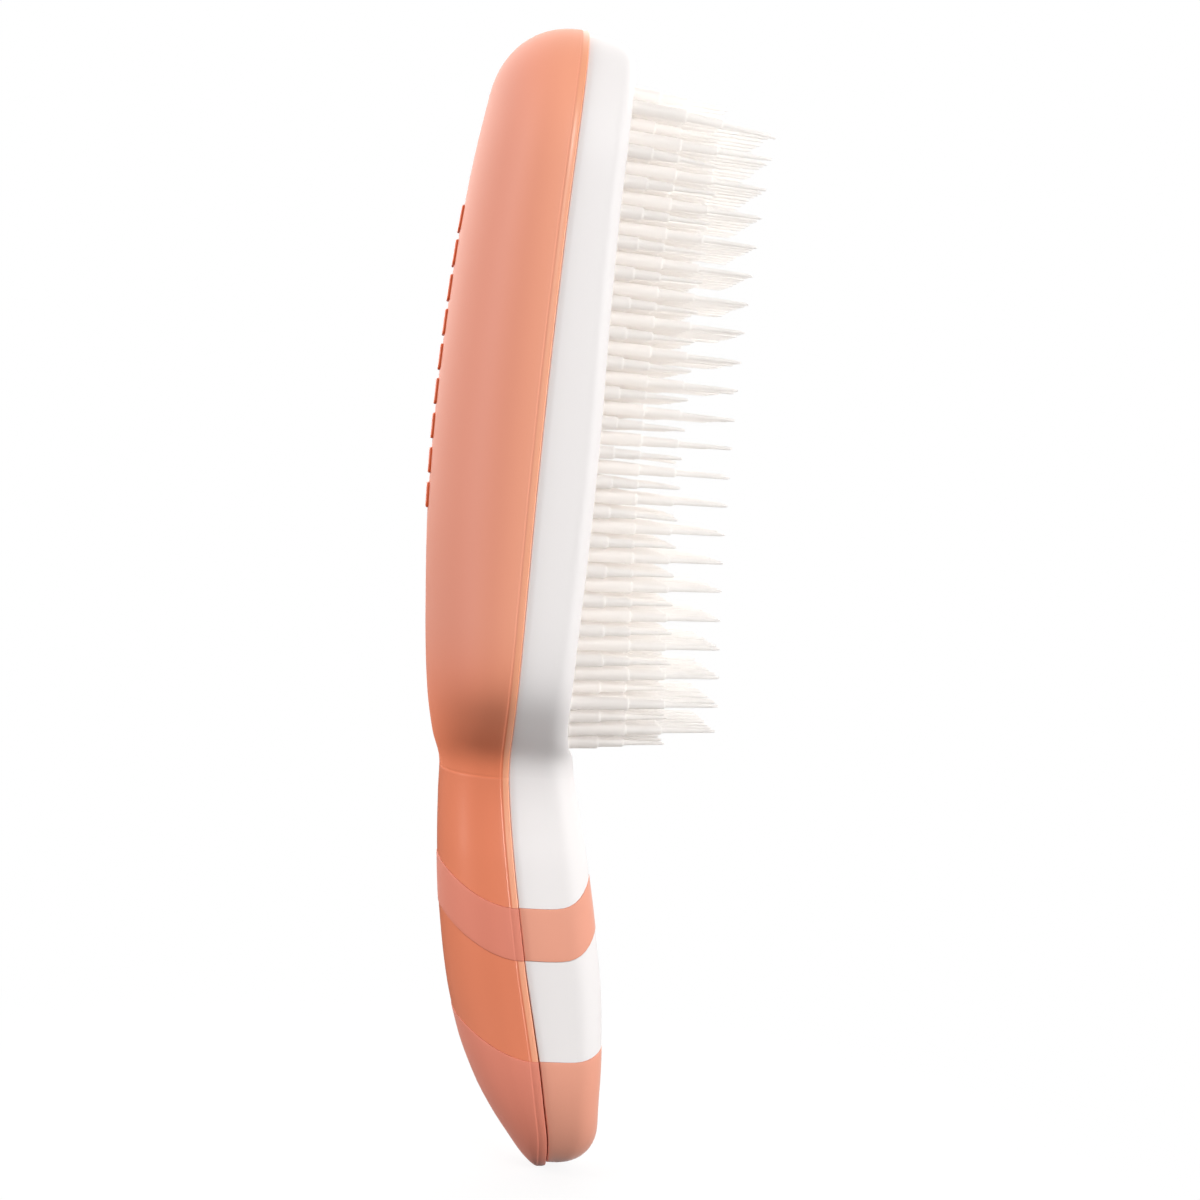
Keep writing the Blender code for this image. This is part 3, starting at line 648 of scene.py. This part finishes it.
def grip_rows(low, high, lift, seat, has_end):
    """(base, inset) of each row of a grip's outside, with small roundings at its edges."""
    edge, deep = grip_edge, seat - grip_foot
    turns = [math.radians(a) for a in (0, 25, 50, 70, 90)]
    high_edge = [(high - edge * (1 - math.cos(a)), -lift + edge * (1 - math.sin(a))) for a in turns]
    low_edge = [(low + edge * (1 - math.cos(a)), -lift + edge * (1 - math.sin(a))) for a in turns]
    low_edge = [(low, deep)] + low_edge
    high_edge = list(reversed(high_edge)) + [(high, deep)]
    first = low + edge + grip_row_gap
    if has_end:
        low_edge, first = [], bottom_z
    middle = [(base, -lift) for base in heights if first <= base < high - edge - grip_row_gap]
    return low_edge + middle + high_edge


def make_grip(name, node, row_at, low, high, lift, seat, has_end):
    """A grip's outside and inside as two sheets, closed all round."""
    rows = grip_rows(low, high, lift, seat, has_end)
    mesh_data = bmesh.new()
    outer = sheet(mesh_data, [row_at(base, inset) for base, inset in rows])
    inner = sheet(mesh_data, [row_at(base, seat - grip_back) for base, _ in rows])
    close_sides(mesh_data, outer, inner)
    if has_end:
        close_end(mesh_data, outer[0], inner[0])
    for end in ([-1] if has_end else [0, -1]):
        for k in range(len(outer[end]) - 1):
            mesh_data.faces.new((outer[end][k], outer[end][k + 1], inner[end][k + 1], inner[end][k]))
    return make_piece(name, mesh_data, node)


def front_row(base, inset):
    return [front_point(bent(base, u), u, inset) for u in grip_columns]


grips = []
for name, node, row_at, lift, seat in (
    ("back", "back_grip", back_row, back_lift, back_seat),
    ("front", "front_grip", front_row, front_lift, front_seat),
):
    grips.append(make_grip(
        f"{name}_soft_band", f"{node}_band", row_at, band_low + grip_gap, band_high - grip_gap, lift, seat, False))
    grips.append(make_grip(
        f"{name}_soft_end", f"{node}_end", row_at, bottom_z, tail_high - grip_gap, lift, seat, True))

# %% [markdown]
# ## Teeth
# Long and short rows take turns, set between each other. Each tooth is a turned shape: a thick base, a slimmer
# middle and a thin springy tip, with a soft shoulder at each step. One profile of (height, radius) pairs per
# kind, swept round the tooth's own axis, gives every tooth. Particles or instances would be quicker to write, but
# separate copies let a few tips bend out of line, as worn-in teeth do.

# %% Where the teeth stand
rows_of_teeth, teeth_across = 45, 10
tooth_radius, tooth_margin, end_margin = 1.3 * mm, 0.5 * mm, 1.5 * mm
room_gap = 0.3 * mm


def plain_half(z):
    """Half the window's width at one height, straight from place to place, as the CAD source has it."""
    place = (z - window_low) / (window_high - window_low)
    for (low, low_share), (high, high_share) in zip(window_line, window_line[1:]):
        if low <= place <= high:
            return window_half * (low_share + (high_share - low_share) * (place - low) / (high - low))
    return 0


def has_room(y, z):
    clear = tooth_radius + room_gap
    for k in range(12):
        angle = 2 * math.pi * k / 12
        if abs(y) + clear * math.cos(angle) > plain_half(z + clear * math.sin(angle)):
            return False
    return True


def tooth_places():
    """(row, y, z, is_long) of every tooth."""
    pitch = 2 * (window_half - tooth_radius - tooth_margin) / (teeth_across - 1)
    first = window_low + tooth_radius + end_margin
    last = window_high - tooth_radius - end_margin
    places = []
    for row in range(rows_of_teeth):
        z = first + (last - first) * row / (rows_of_teeth - 1)
        is_long = row % 2 == 1
        start = 0 if is_long else pitch / 2
        fitting = [start + pitch * k for k in range(teeth_across) if has_room(start + pitch * k, z)]
        across = sorted([-y for y in fitting if y > 0] + fitting)
        places += [(row, y, z, is_long) for y in across]
    return places


teeth = tooth_places()
print(len(teeth), "teeth in", rows_of_teeth, "rows")

# %% One tooth's profile and its sweep
foot = ((-0.3, 1.75), (0.02, 1.62), (0.16, 1.42), (0.4, 1.33), (0.9, 1.3))


def tooth_profile(base, middle, thin):
    """(height, radius) pairs in mm from below the bed to the tip. The three steps are lengths in mm."""
    a, b, c = base, base + middle, base + middle + thin
    return foot + (
        (a - 0.75, 1.23), (a - 0.42, 1.24), (a - 0.2, 1.2), (a - 0.06, 1.1), (a, 0.98),
        (a + 0.14, 0.93), (a + 0.6, 0.91), (b - 0.7, 0.84), (b - 0.3, 0.82), (b - 0.1, 0.74), (b, 0.6),
        (b + 0.16, 0.52), ((b + c) / 2, 0.43), (c - 1.2, 0.35), (c - 0.5, 0.31),
        (c - 0.18, 0.25), (c - 0.04, 0.14), (c, 0.02),
    )


long_profile = tooth_profile(11.2, 7.0, 10.4)
short_profile = tooth_profile(6.0, 5.0, 8.0)
tooth_sides, bend_power = 10, 2.5


def add_tooth(mesh_data, y, z, profile, sway, droop):
    """One turned tooth. sway and droop move its tip across and down, more and more along the thin part."""
    lean = bed_lean(z)
    forward = Vector((math.cos(lean), 0, math.sin(lean)))
    upward = Vector((-math.sin(lean), 0, math.cos(lean)))
    sideward = Vector((0, 1, 0))
    start = Vector((bed_x(z), y, z))
    length = profile[-1][0]
    before = None
    for height, radius in profile:
        bend = max(height / length, 0) ** bend_power
        centre = start + forward * (height * mm) + sideward * (sway * bend) - upward * (droop * bend)
        ring = []
        for k in range(tooth_sides):
            turn = 2 * math.pi * k / tooth_sides
            ring.append(mesh_data.verts.new(
                centre + (upward * math.cos(turn) + sideward * math.sin(turn)) * (radius * mm)))
        if before is None:
            mesh_data.faces.new(ring)
        else:
            for k in range(tooth_sides):
                after = (k + 1) % tooth_sides
                mesh_data.faces.new((before[k], before[after], ring[after], ring[k]))
        before = ring
    mesh_data.faces.new(before)


# %% The bed with its edge, and all the teeth on it
bed_gap, bed_skirt, bed_margin = 0.12 * mm, 1.6 * mm, 1.2 * mm
bed_across, bed_along, bed_first, bed_last = 2.5 * mm, 2.4 * mm, 1 * mm, 0.5 * mm
teeth_mesh = bmesh.new()
bed_loop = grown(window, -bed_gap)
bed_points = list(bed_loop)
z = window_low + bed_first
while z < window_high - bed_last:
    half = plain_half(z) - bed_margin
    count = max(int(half / bed_across), 1)
    bed_points += [Vector((half * k / count, z)) for k in range(-count, count + 1)]
    z += bed_along
bed_edges = [(k, (k + 1) % len(bed_loop)) for k in range(len(bed_loop))]
flat_bed = delaunay_2d_cdt(bed_points, bed_edges, [], 1, 1e-8)
bed_verts = [teeth_mesh.verts.new((bed_x(p.y), p.x, p.y)) for p in flat_bed[0]]
for face in flat_bed[2]:
    teeth_mesh.faces.new([bed_verts[k] for k in face])
bed_of = {source: k for k, sources in enumerate(flat_bed[3]) for source in sources}
before = [bed_verts[bed_of[k]] for k in range(len(bed_loop))]
skirt = [teeth_mesh.verts.new((bed_x(p.y) - bed_skirt, p.x, p.y)) for p in bed_loop]
for k in range(len(skirt)):
    after = (k + 1) % len(skirt)
    teeth_mesh.faces.new((before[k], before[after], skirt[after], skirt[k]))
under = bmesh.ops.contextual_create(teeth_mesh, geom=skirt)
bmesh.ops.triangulate(teeth_mesh, faces=[f for f in under["faces"]])

usual_sway, usual_droop, bent_share, bent_sway, bent_droop = 0.14 * mm, 0.1 * mm, 0.03, 4, 5
worn_row, worn_droop = 43, 1.3 * mm
worn_y = min(y for row, y, _, _ in teeth if row == worn_row)
chance = random.Random(7)
for row, y, z, is_long in teeth:
    sway, droop = chance.gauss(0, usual_sway), chance.gauss(0, usual_droop)
    if chance.random() < bent_share:
        sway, droop = sway * bent_sway, droop * bent_droop
    if row == worn_row and y == worn_y:
        droop += worn_droop
    add_tooth(teeth_mesh, y, z, long_profile if is_long else short_profile, sway, droop)
tooth_bed = make_piece("tooth_bed", teeth_mesh, "tooth_pad", 60)

# %% [markdown]
# ## Raised dashes on the back
# A row of plain raised dashes runs down the middle of the back. Each is a patch of the back's own surface, lifted
# by half a millimetre with a rounded edge, so it follows the crown. Flat blocks would be simpler and would sink in.

# %% Build the dashes
dash_low, dash_high, dash_count, dash_share = 88 * mm, 149 * mm, 9, 0.74
dash_half_width, dash_corner = 4.2 * mm, 0.8 * mm
dash_edge = tuple((shrink * mm, lift * mm) for shrink, lift in ((0, -0.1), (0, 0.3), (0.08, 0.44), (0.22, 0.5)))


def crown_point(y, z, lift):
    """The point of the back's surface near its middle line."""
    z_in = drawn_in(z, crown_step)
    side = half_width(z_in, crown_step)
    crown = (1 - abs(y / side) ** section_power) ** (1 / section_power)
    return Vector((seam_x(z_in) - rim_height - (back_reach(z_in) - rim_height) * crown - lift, y, z_in))


dash_mesh = bmesh.new()
pitch = (dash_high - dash_low) / dash_count
for k in range(dash_count):
    low = dash_low + pitch * (k + (1 - dash_share) / 2)
    length = pitch * dash_share
    rows = []
    for shrink, lift in dash_edge:
        ring = []
        half_y, half_z = dash_half_width - shrink, length / 2 - shrink
        for quarter in range(4):
            for step in range(5):
                turn = math.pi / 2 * (quarter + step / 4)
                middle_y = math.copysign(half_y - dash_corner, math.cos(math.pi / 2 * (quarter + 0.5)))
                middle_z = math.copysign(half_z - dash_corner, math.sin(math.pi / 2 * (quarter + 0.5)))
                y = middle_y + dash_corner * math.cos(turn)
                z = low + length / 2 + middle_z + dash_corner * math.sin(turn)
                ring.append(crown_point(y, z, lift))
        rows.append([dash_mesh.verts.new(p) for p in ring])
    for a, b in zip(rows, rows[1:]):
        for j in range(len(a)):
            after = (j + 1) % len(a)
            dash_mesh.faces.new((a[j], a[after], b[after], b[j]))
    # a cap is a ladder of quads between its two round corners on each side, because one big face shades unevenly
    for cap in (rows[0], rows[-1]):
        rungs = [(cap[4 - j], cap[5 + j]) for j in range(5)] + [(cap[19 - j], cap[10 + j]) for j in range(5)]
        for upper, lower in zip(rungs, rungs[1:]):
            dash_mesh.faces.new((upper[0], upper[1], lower[1], lower[0]))
raised_dashes = make_piece("raised_dashes", dash_mesh, None, 50)

# %% [markdown]
# ## Finishes
# Every finish is a Principled shader with two layers of noise in the brush's own coordinates: a broad one that
# shifts the colour a little, as plastic is never quite even, and a fine one that breaks up the gloss like the
# texture of a steel mould. Image textures would need unwrapping and couldn't go closer than their pixels.

# %% Helpers for nodes and for moulded plastic
broad_scale, gloss_drift = 28, 0.05


def ramp(nodes, start, end, low=0, high=1, interpolation="SMOOTHSTEP"):
    """A node that turns a value between start and end into one between low and high."""
    node = nodes.new("ShaderNodeMapRange")
    node.interpolation_type = interpolation
    for socket, value in (("From Min", start), ("From Max", end), ("To Min", low), ("To Max", high)):
        node.inputs[socket].default_value = value
    return node


def moulded(name, colour, shade, roughness, grain_size, grain_depth, **sockets):
    """A plastic whose colour drifts towards shade, with a grain of the given size and depth in metres."""
    material = bpy.data.materials.new(name)
    material.use_nodes = True
    nodes, links = material.node_tree.nodes, material.node_tree.links
    finish = nodes["Principled BSDF"]
    place = nodes.new("ShaderNodeTexCoord")
    broad = nodes.new("ShaderNodeTexNoise")
    broad.inputs["Scale"].default_value = broad_scale
    broad.inputs["Detail"].default_value = 3
    links.new(place.outputs["Object"], broad.inputs["Vector"])
    tint = nodes.new("ShaderNodeMix")
    tint.data_type = "RGBA"
    tint.inputs["A"].default_value = (*colour, 1)
    tint.inputs["B"].default_value = (*shade, 1)
    links.new(broad.outputs["Fac"], tint.inputs["Factor"])
    links.new(tint.outputs["Result"], finish.inputs["Base Color"])
    fine = nodes.new("ShaderNodeTexNoise")
    fine.inputs["Scale"].default_value = 1 / grain_size
    fine.inputs["Detail"].default_value = 4
    links.new(place.outputs["Object"], fine.inputs["Vector"])
    gloss = ramp(nodes, 0, 1, roughness - gloss_drift, roughness + gloss_drift, "LINEAR")
    links.new(fine.outputs["Fac"], gloss.inputs["Value"])
    links.new(gloss.outputs["Result"], finish.inputs["Roughness"])
    bump = nodes.new("ShaderNodeBump")
    bump.inputs["Distance"].default_value = grain_depth
    bump.inputs["Strength"].default_value = 1
    links.new(fine.outputs["Fac"], bump.inputs["Height"])
    links.new(bump.outputs["Normal"], finish.inputs["Normal"])
    for socket, value in sockets.items():
        finish.inputs[socket.replace("_", " ")].default_value = value
    return material


def dress(piece, *materials):
    piece.data.materials.clear()
    for material in materials:
        piece.data.materials.append(material)


# %% The finishes
coral_satin = moulded(
    "coral_satin", (0.73, 0.280, 0.191), (0.71, 0.266, 0.180), 0.56, 0.35 * mm, 0.010 * mm, Specular_IOR_Level=0.3)
coral_gloss = moulded(
    "coral_gloss", (0.82, 0.250, 0.134), (0.80, 0.238, 0.126), 0.30, 0.60 * mm, 0.006 * mm)
soft_coral = moulded(
    "soft_touch_coral", (0.76, 0.246, 0.166), (0.74, 0.232, 0.156), 0.62, 0.25 * mm, 0.018 * mm,
    Specular_IOR_Level=0.35, Sheen_Weight=0.25, Sheen_Roughness=0.35)
# the front grips' soft-touch: the same coral painted lighter, as painted light from the right
soft_coral_painted_light = moulded(
    "soft_touch_coral_painted_light", (0.86, 0.375, 0.260), (0.84, 0.360, 0.247), 0.62, 0.25 * mm, 0.018 * mm,
    Specular_IOR_Level=0.35, Sheen_Weight=0.45, Sheen_Roughness=0.35)
white_satin = moulded(
    "white_satin", (0.895, 0.860, 0.852), (0.88, 0.845, 0.836), 0.50, 0.4 * mm, 0.006 * mm,
    Specular_IOR_Level=0.4)
tooth_nylon = moulded(
    "tooth_nylon", (0.99, 0.976, 0.966), (0.99, 0.969, 0.953), 0.42, 0.5 * mm, 0.005 * mm)
# the bead's front slope: a glossier finish whose paler colour is a painted highlight along the seam
bead_coral_painted_highlight = moulded(
    "bead_coral_painted_highlight", (0.92, 0.40, 0.235), (0.91, 0.385, 0.225), 0.36, 0.60 * mm, 0.004 * mm)
# deep coral: the raised dashes' own colour, and on the tongue in the seam it is painted shade
mark_and_seam_shade_coral = moulded(
    "mark_and_seam_shade_coral", (0.76, 0.145, 0.045), (0.72, 0.13, 0.04), 0.4, 0.4 * mm, 0.008 * mm)
finishes = (coral_satin, coral_gloss, soft_coral, soft_coral_painted_light, white_satin, tooth_nylon, bead_coral_painted_highlight, mark_and_seam_shade_coral)
print("Finishes:", ", ".join(finish.name for finish in finishes))

# %% [markdown]
# Nylon teeth this thin let light through, so that the shaded side of a tooth still glows. A translucent part mixed
# into the finish does that. Light scattered under the surface would look alike and take much longer to render. A
# render also gives up after a few bounces, where between real white teeth the light goes on bouncing: a trace of
# warm glow in the finish stands for what is lost.

# %% Let light through the teeth
nodes, links = tooth_nylon.node_tree.nodes, tooth_nylon.node_tree.links
nodes["Principled BSDF"].inputs["Emission Color"].default_value = (1, 0.92, 0.86, 1)
nodes["Principled BSDF"].inputs["Emission Strength"].default_value = 0.11
through = nodes.new("ShaderNodeBsdfTranslucent")
through.inputs["Color"].default_value = (0.99, 0.977, 0.962, 1)
share_through = nodes.new("ShaderNodeMixShader")
share_through.inputs["Fac"].default_value = 0.55
links.new(nodes["Principled BSDF"].outputs["BSDF"], share_through.inputs[1])
links.new(through.outputs["BSDF"], share_through.inputs[2])
links.new(share_through.outputs["Shader"], nodes["Material Output"].inputs["Surface"])

# %% [markdown]
# The head's satin is painted from a pinker coral on the crown to a lighter, more orange one at the rim, which is
# painted light on the side near the seam. The mask is the fore-and-aft coordinate, because the seam runs nearly
# straight on the head. A second mask, by height, brings the colour over to that of the handle at the neck, so that
# no edge shows where the two meet, and makes it a little deeper there as painted shade under the head. The bead's
# front slope is glossier and painted paler, a painted highlight that draws the bright line that follows the seam.

# %% The head's colour: painted light near the rim, and painted shade at the neck
nodes, links = coral_satin.node_tree.nodes, coral_satin.node_tree.links
spot = nodes.new("ShaderNodeSeparateXYZ")
links.new(nodes["Texture Coordinate"].outputs["Object"], spot.inputs["Vector"])
# painted light: the side is painted lighter and more orange towards the rim
painted_rim_light_mask = ramp(nodes, -19 * mm, -6 * mm)
links.new(spot.outputs["X"], painted_rim_light_mask.inputs["Value"])
painted_rim_light = nodes.new("ShaderNodeMix")
painted_rim_light.data_type = "RGBA"
painted_rim_light.inputs["B"].default_value = (0.89, 0.365, 0.230, 1)
links.new(painted_rim_light_mask.outputs["Result"], painted_rim_light.inputs["Factor"])
links.new(nodes["Mix"].outputs["Result"], painted_rim_light.inputs["A"])
# towards the neck the colour goes over to the handle's coral, and a little deeper still as painted shade under the
# head
neck_blend_and_shade_mask = ramp(nodes, 70 * mm, 40 * mm)
links.new(spot.outputs["Z"], neck_blend_and_shade_mask.inputs["Value"])
neck_blend_and_painted_shade = nodes.new("ShaderNodeMix")
neck_blend_and_painted_shade.data_type = "RGBA"
neck_blend_and_painted_shade.inputs["B"].default_value = (0.82, 0.235, 0.118, 1)
links.new(neck_blend_and_shade_mask.outputs["Result"], neck_blend_and_painted_shade.inputs["Factor"])
links.new(painted_rim_light.outputs["Result"], neck_blend_and_painted_shade.inputs["A"])
links.new(neck_blend_and_painted_shade.outputs["Result"], nodes["Principled BSDF"].inputs["Base Color"])

# %% Dress the pieces
# The back is satin on the head and glossier on the handle, below the witness line. The tongue in the seam is
# painted the deepest coral, as painted shade for the light that goes to and fro between two coral walls and turns
# redder.
bead_slope = 8
dress(back_shell, coral_satin, coral_gloss, bead_coral_painted_highlight)
across_back = len(back_columns) - 1
for k, face in enumerate(back_shell.data.polygons):
    column = k % across_back
    on_slope = k < across_back * (len(heights) - 1) and min(column, across_back - 1 - column) < bead_slope
    face.material_index = 2 if on_slope else (1 if face.center.z < witness_low else 0)
dress(front_shell, white_satin, mark_and_seam_shade_coral)
for k in tongue_faces:
    front_shell.data.polygons[k].material_index = 1
dress(tooth_bed, tooth_nylon)
dress(raised_dashes, mark_and_seam_shade_coral)
for grip in grips[:2]:
    dress(grip, soft_coral)
# the front grips take the lighter copy, painted light
for grip in grips[2:]:
    dress(grip, soft_coral_painted_light)

# %% [markdown]
# ## Floor, light and camera
# The brush stands on a pale floor that fades into a white world. A wide lamp, high in front, lights the side that
# the camera sees, a tall one on each side brings out the long edges, and the world is bright behind, which shines
# through the teeth. Little comes from above or below, which leaves the deep shade under the head at the neck. One
# big dome of light would be simpler, and would wash that shade away.

# %% Floor: white to the camera with a trace of shade round the brush, and dark to everything else
floor_mesh = bpy.data.meshes.new("floor")
reach, floor_drop = 6.0, 0.05 * mm
corners = [(-reach, -reach, 0), (reach, -reach, 0), (reach, reach, 0), (-reach, reach, 0)]
floor_mesh.from_pydata(corners, [], [(0, 1, 2, 3)])
floor = bpy.data.objects.new("floor", floor_mesh)
floor.location = (0, 0, cad_box[0].z - floor_drop)
bpy.context.scene.collection.objects.link(floor)
floor_finish = bpy.data.materials.new("pale_floor")
floor_finish.use_nodes = True
nodes, links = floor_finish.node_tree.nodes, floor_finish.node_tree.links
nodes.clear()
out = nodes.new("ShaderNodeOutputMaterial")
seen = nodes.new("ShaderNodeMixShader")
dull = nodes.new("ShaderNodeBsdfDiffuse")
bounce = ramp(nodes, 0.03, 0.12, 0.18, 0.04, "LINEAR")
pale = nodes.new("ShaderNodeMixShader")
glow = nodes.new("ShaderNodeEmission")
glow.inputs["Color"].default_value = (1, 1, 1, 1)
lit = nodes.new("ShaderNodeBsdfDiffuse")
lit.inputs["Color"].default_value = (0.95, 0.95, 0.95, 1)
place = nodes.new("ShaderNodeTexCoord")
away = nodes.new("ShaderNodeVectorMath")
away.operation = "LENGTH"
shade = ramp(nodes, 0.02, 0.16, 0.14, 0)
ray = nodes.new("ShaderNodeLightPath")
links.new(place.outputs["Object"], away.inputs[0])
links.new(away.outputs["Value"], shade.inputs["Value"])
links.new(away.outputs["Value"], bounce.inputs["Value"])
links.new(bounce.outputs["Result"], dull.inputs["Color"])
links.new(shade.outputs["Result"], pale.inputs["Fac"])
links.new(glow.outputs[0], pale.inputs[1])
links.new(lit.outputs[0], pale.inputs[2])
links.new(ray.outputs["Is Camera Ray"], seen.inputs["Fac"])
links.new(dull.outputs[0], seen.inputs[1])
links.new(pale.outputs[0], seen.inputs[2])
links.new(seen.outputs[0], out.inputs["Surface"])
floor_mesh.materials.append(floor_finish)
print("Floor at", round(floor.location.z / mm, 2), "mm")

# %% World: white to the camera. To the brush it is bright behind, faint above and nearly dark elsewhere
world_low, world_high, world_behind = 0.02, 0.14, 2.8
world = bpy.data.worlds.new("studio")
bpy.context.scene.world = world
world.use_nodes = True
nodes, links = world.node_tree.nodes, world.node_tree.links
nodes.clear()
out = nodes.new("ShaderNodeOutputWorld")
seen = nodes.new("ShaderNodeMixShader")
backdrop = nodes.new("ShaderNodeBackground")
backdrop.inputs["Color"].default_value = (1, 1, 1, 1)
around = nodes.new("ShaderNodeBackground")
around.inputs["Color"].default_value = (1, 0.99, 0.98, 1)
where = nodes.new("ShaderNodeTexCoord")
ways = nodes.new("ShaderNodeSeparateXYZ")
above = ramp(nodes, -0.35, 0.55, world_low, world_high)
behind = ramp(nodes, 0, 0.9, 0, world_behind)
both = nodes.new("ShaderNodeMath")
both.operation = "ADD"
ray = nodes.new("ShaderNodeLightPath")
links.new(where.outputs["Generated"], ways.inputs["Vector"])
links.new(ways.outputs["Z"], above.inputs["Value"])
links.new(ways.outputs["Y"], behind.inputs["Value"])
links.new(above.outputs["Result"], both.inputs[0])
links.new(behind.outputs["Result"], both.inputs[1])
links.new(both.outputs["Value"], around.inputs["Strength"])
links.new(ray.outputs["Is Camera Ray"], seen.inputs["Fac"])
links.new(around.outputs[0], seen.inputs[1])
links.new(backdrop.outputs[0], seen.inputs[2])
links.new(seen.outputs[0], out.inputs["Surface"])
print("World strength: low", world_low, "high", world_high, "behind", world_behind)

# %% Soft lamps


def soft_lamp(name, place, aim, width, height, watts):
    lamp = bpy.data.lights.new(name, "AREA")
    lamp.shape = "RECTANGLE"
    lamp.size, lamp.size_y, lamp.energy = width, height, watts
    holder = bpy.data.objects.new(name, lamp)
    holder.location = place
    holder.rotation_euler = (Vector(aim) - Vector(place)).to_track_quat("-Z", "Y").to_euler()
    bpy.context.scene.collection.objects.link(holder)
    print("Lamp", name, watts, "W")


middle = (0, 0, 0.07)
soft_lamp("key", (0.54, -1.39, 0.64), middle, 0.72, 0.45, 16.0)
soft_lamp("right", (1.23, -0.42, 0.15), middle, 0.30, 0.75, 10.0)
soft_lamp("left", (-1.20, -0.33, 0.35), middle, 0.30, 0.75, 12.6)

# %% [markdown]
# ## Camera
# The photograph looks at the brush's side from a little above, with the brush leaning slightly in the frame. The
# lens is long for its sensor, so that the near and far sides of the head keep their true proportions.

# %% Camera
lens_to_sensor, sensor = 1.93, 36
camera_place, camera_aim, camera_roll = Vector((-0.0331, -0.4584, 0.1025)), Vector((0.0093, 0, 0.0735)), 5.33
lens = bpy.data.cameras.new("camera")
lens.sensor_width = sensor
lens.lens = sensor * lens_to_sensor
camera = bpy.data.objects.new("camera", lens)
camera.location = camera_place
turn = (camera_aim - camera_place).to_track_quat("-Z", "Y").to_matrix()
camera.rotation_euler = (turn @ Matrix.Rotation(math.radians(camera_roll), 3, "Z")).to_euler()
bpy.context.scene.collection.objects.link(camera)
bpy.context.scene.camera = camera
bpy.context.scene.view_settings.view_transform = "Standard"
print("Camera", round(camera_place.length, 3), "m from the grip, lens", round(lens.lens, 1), "mm")
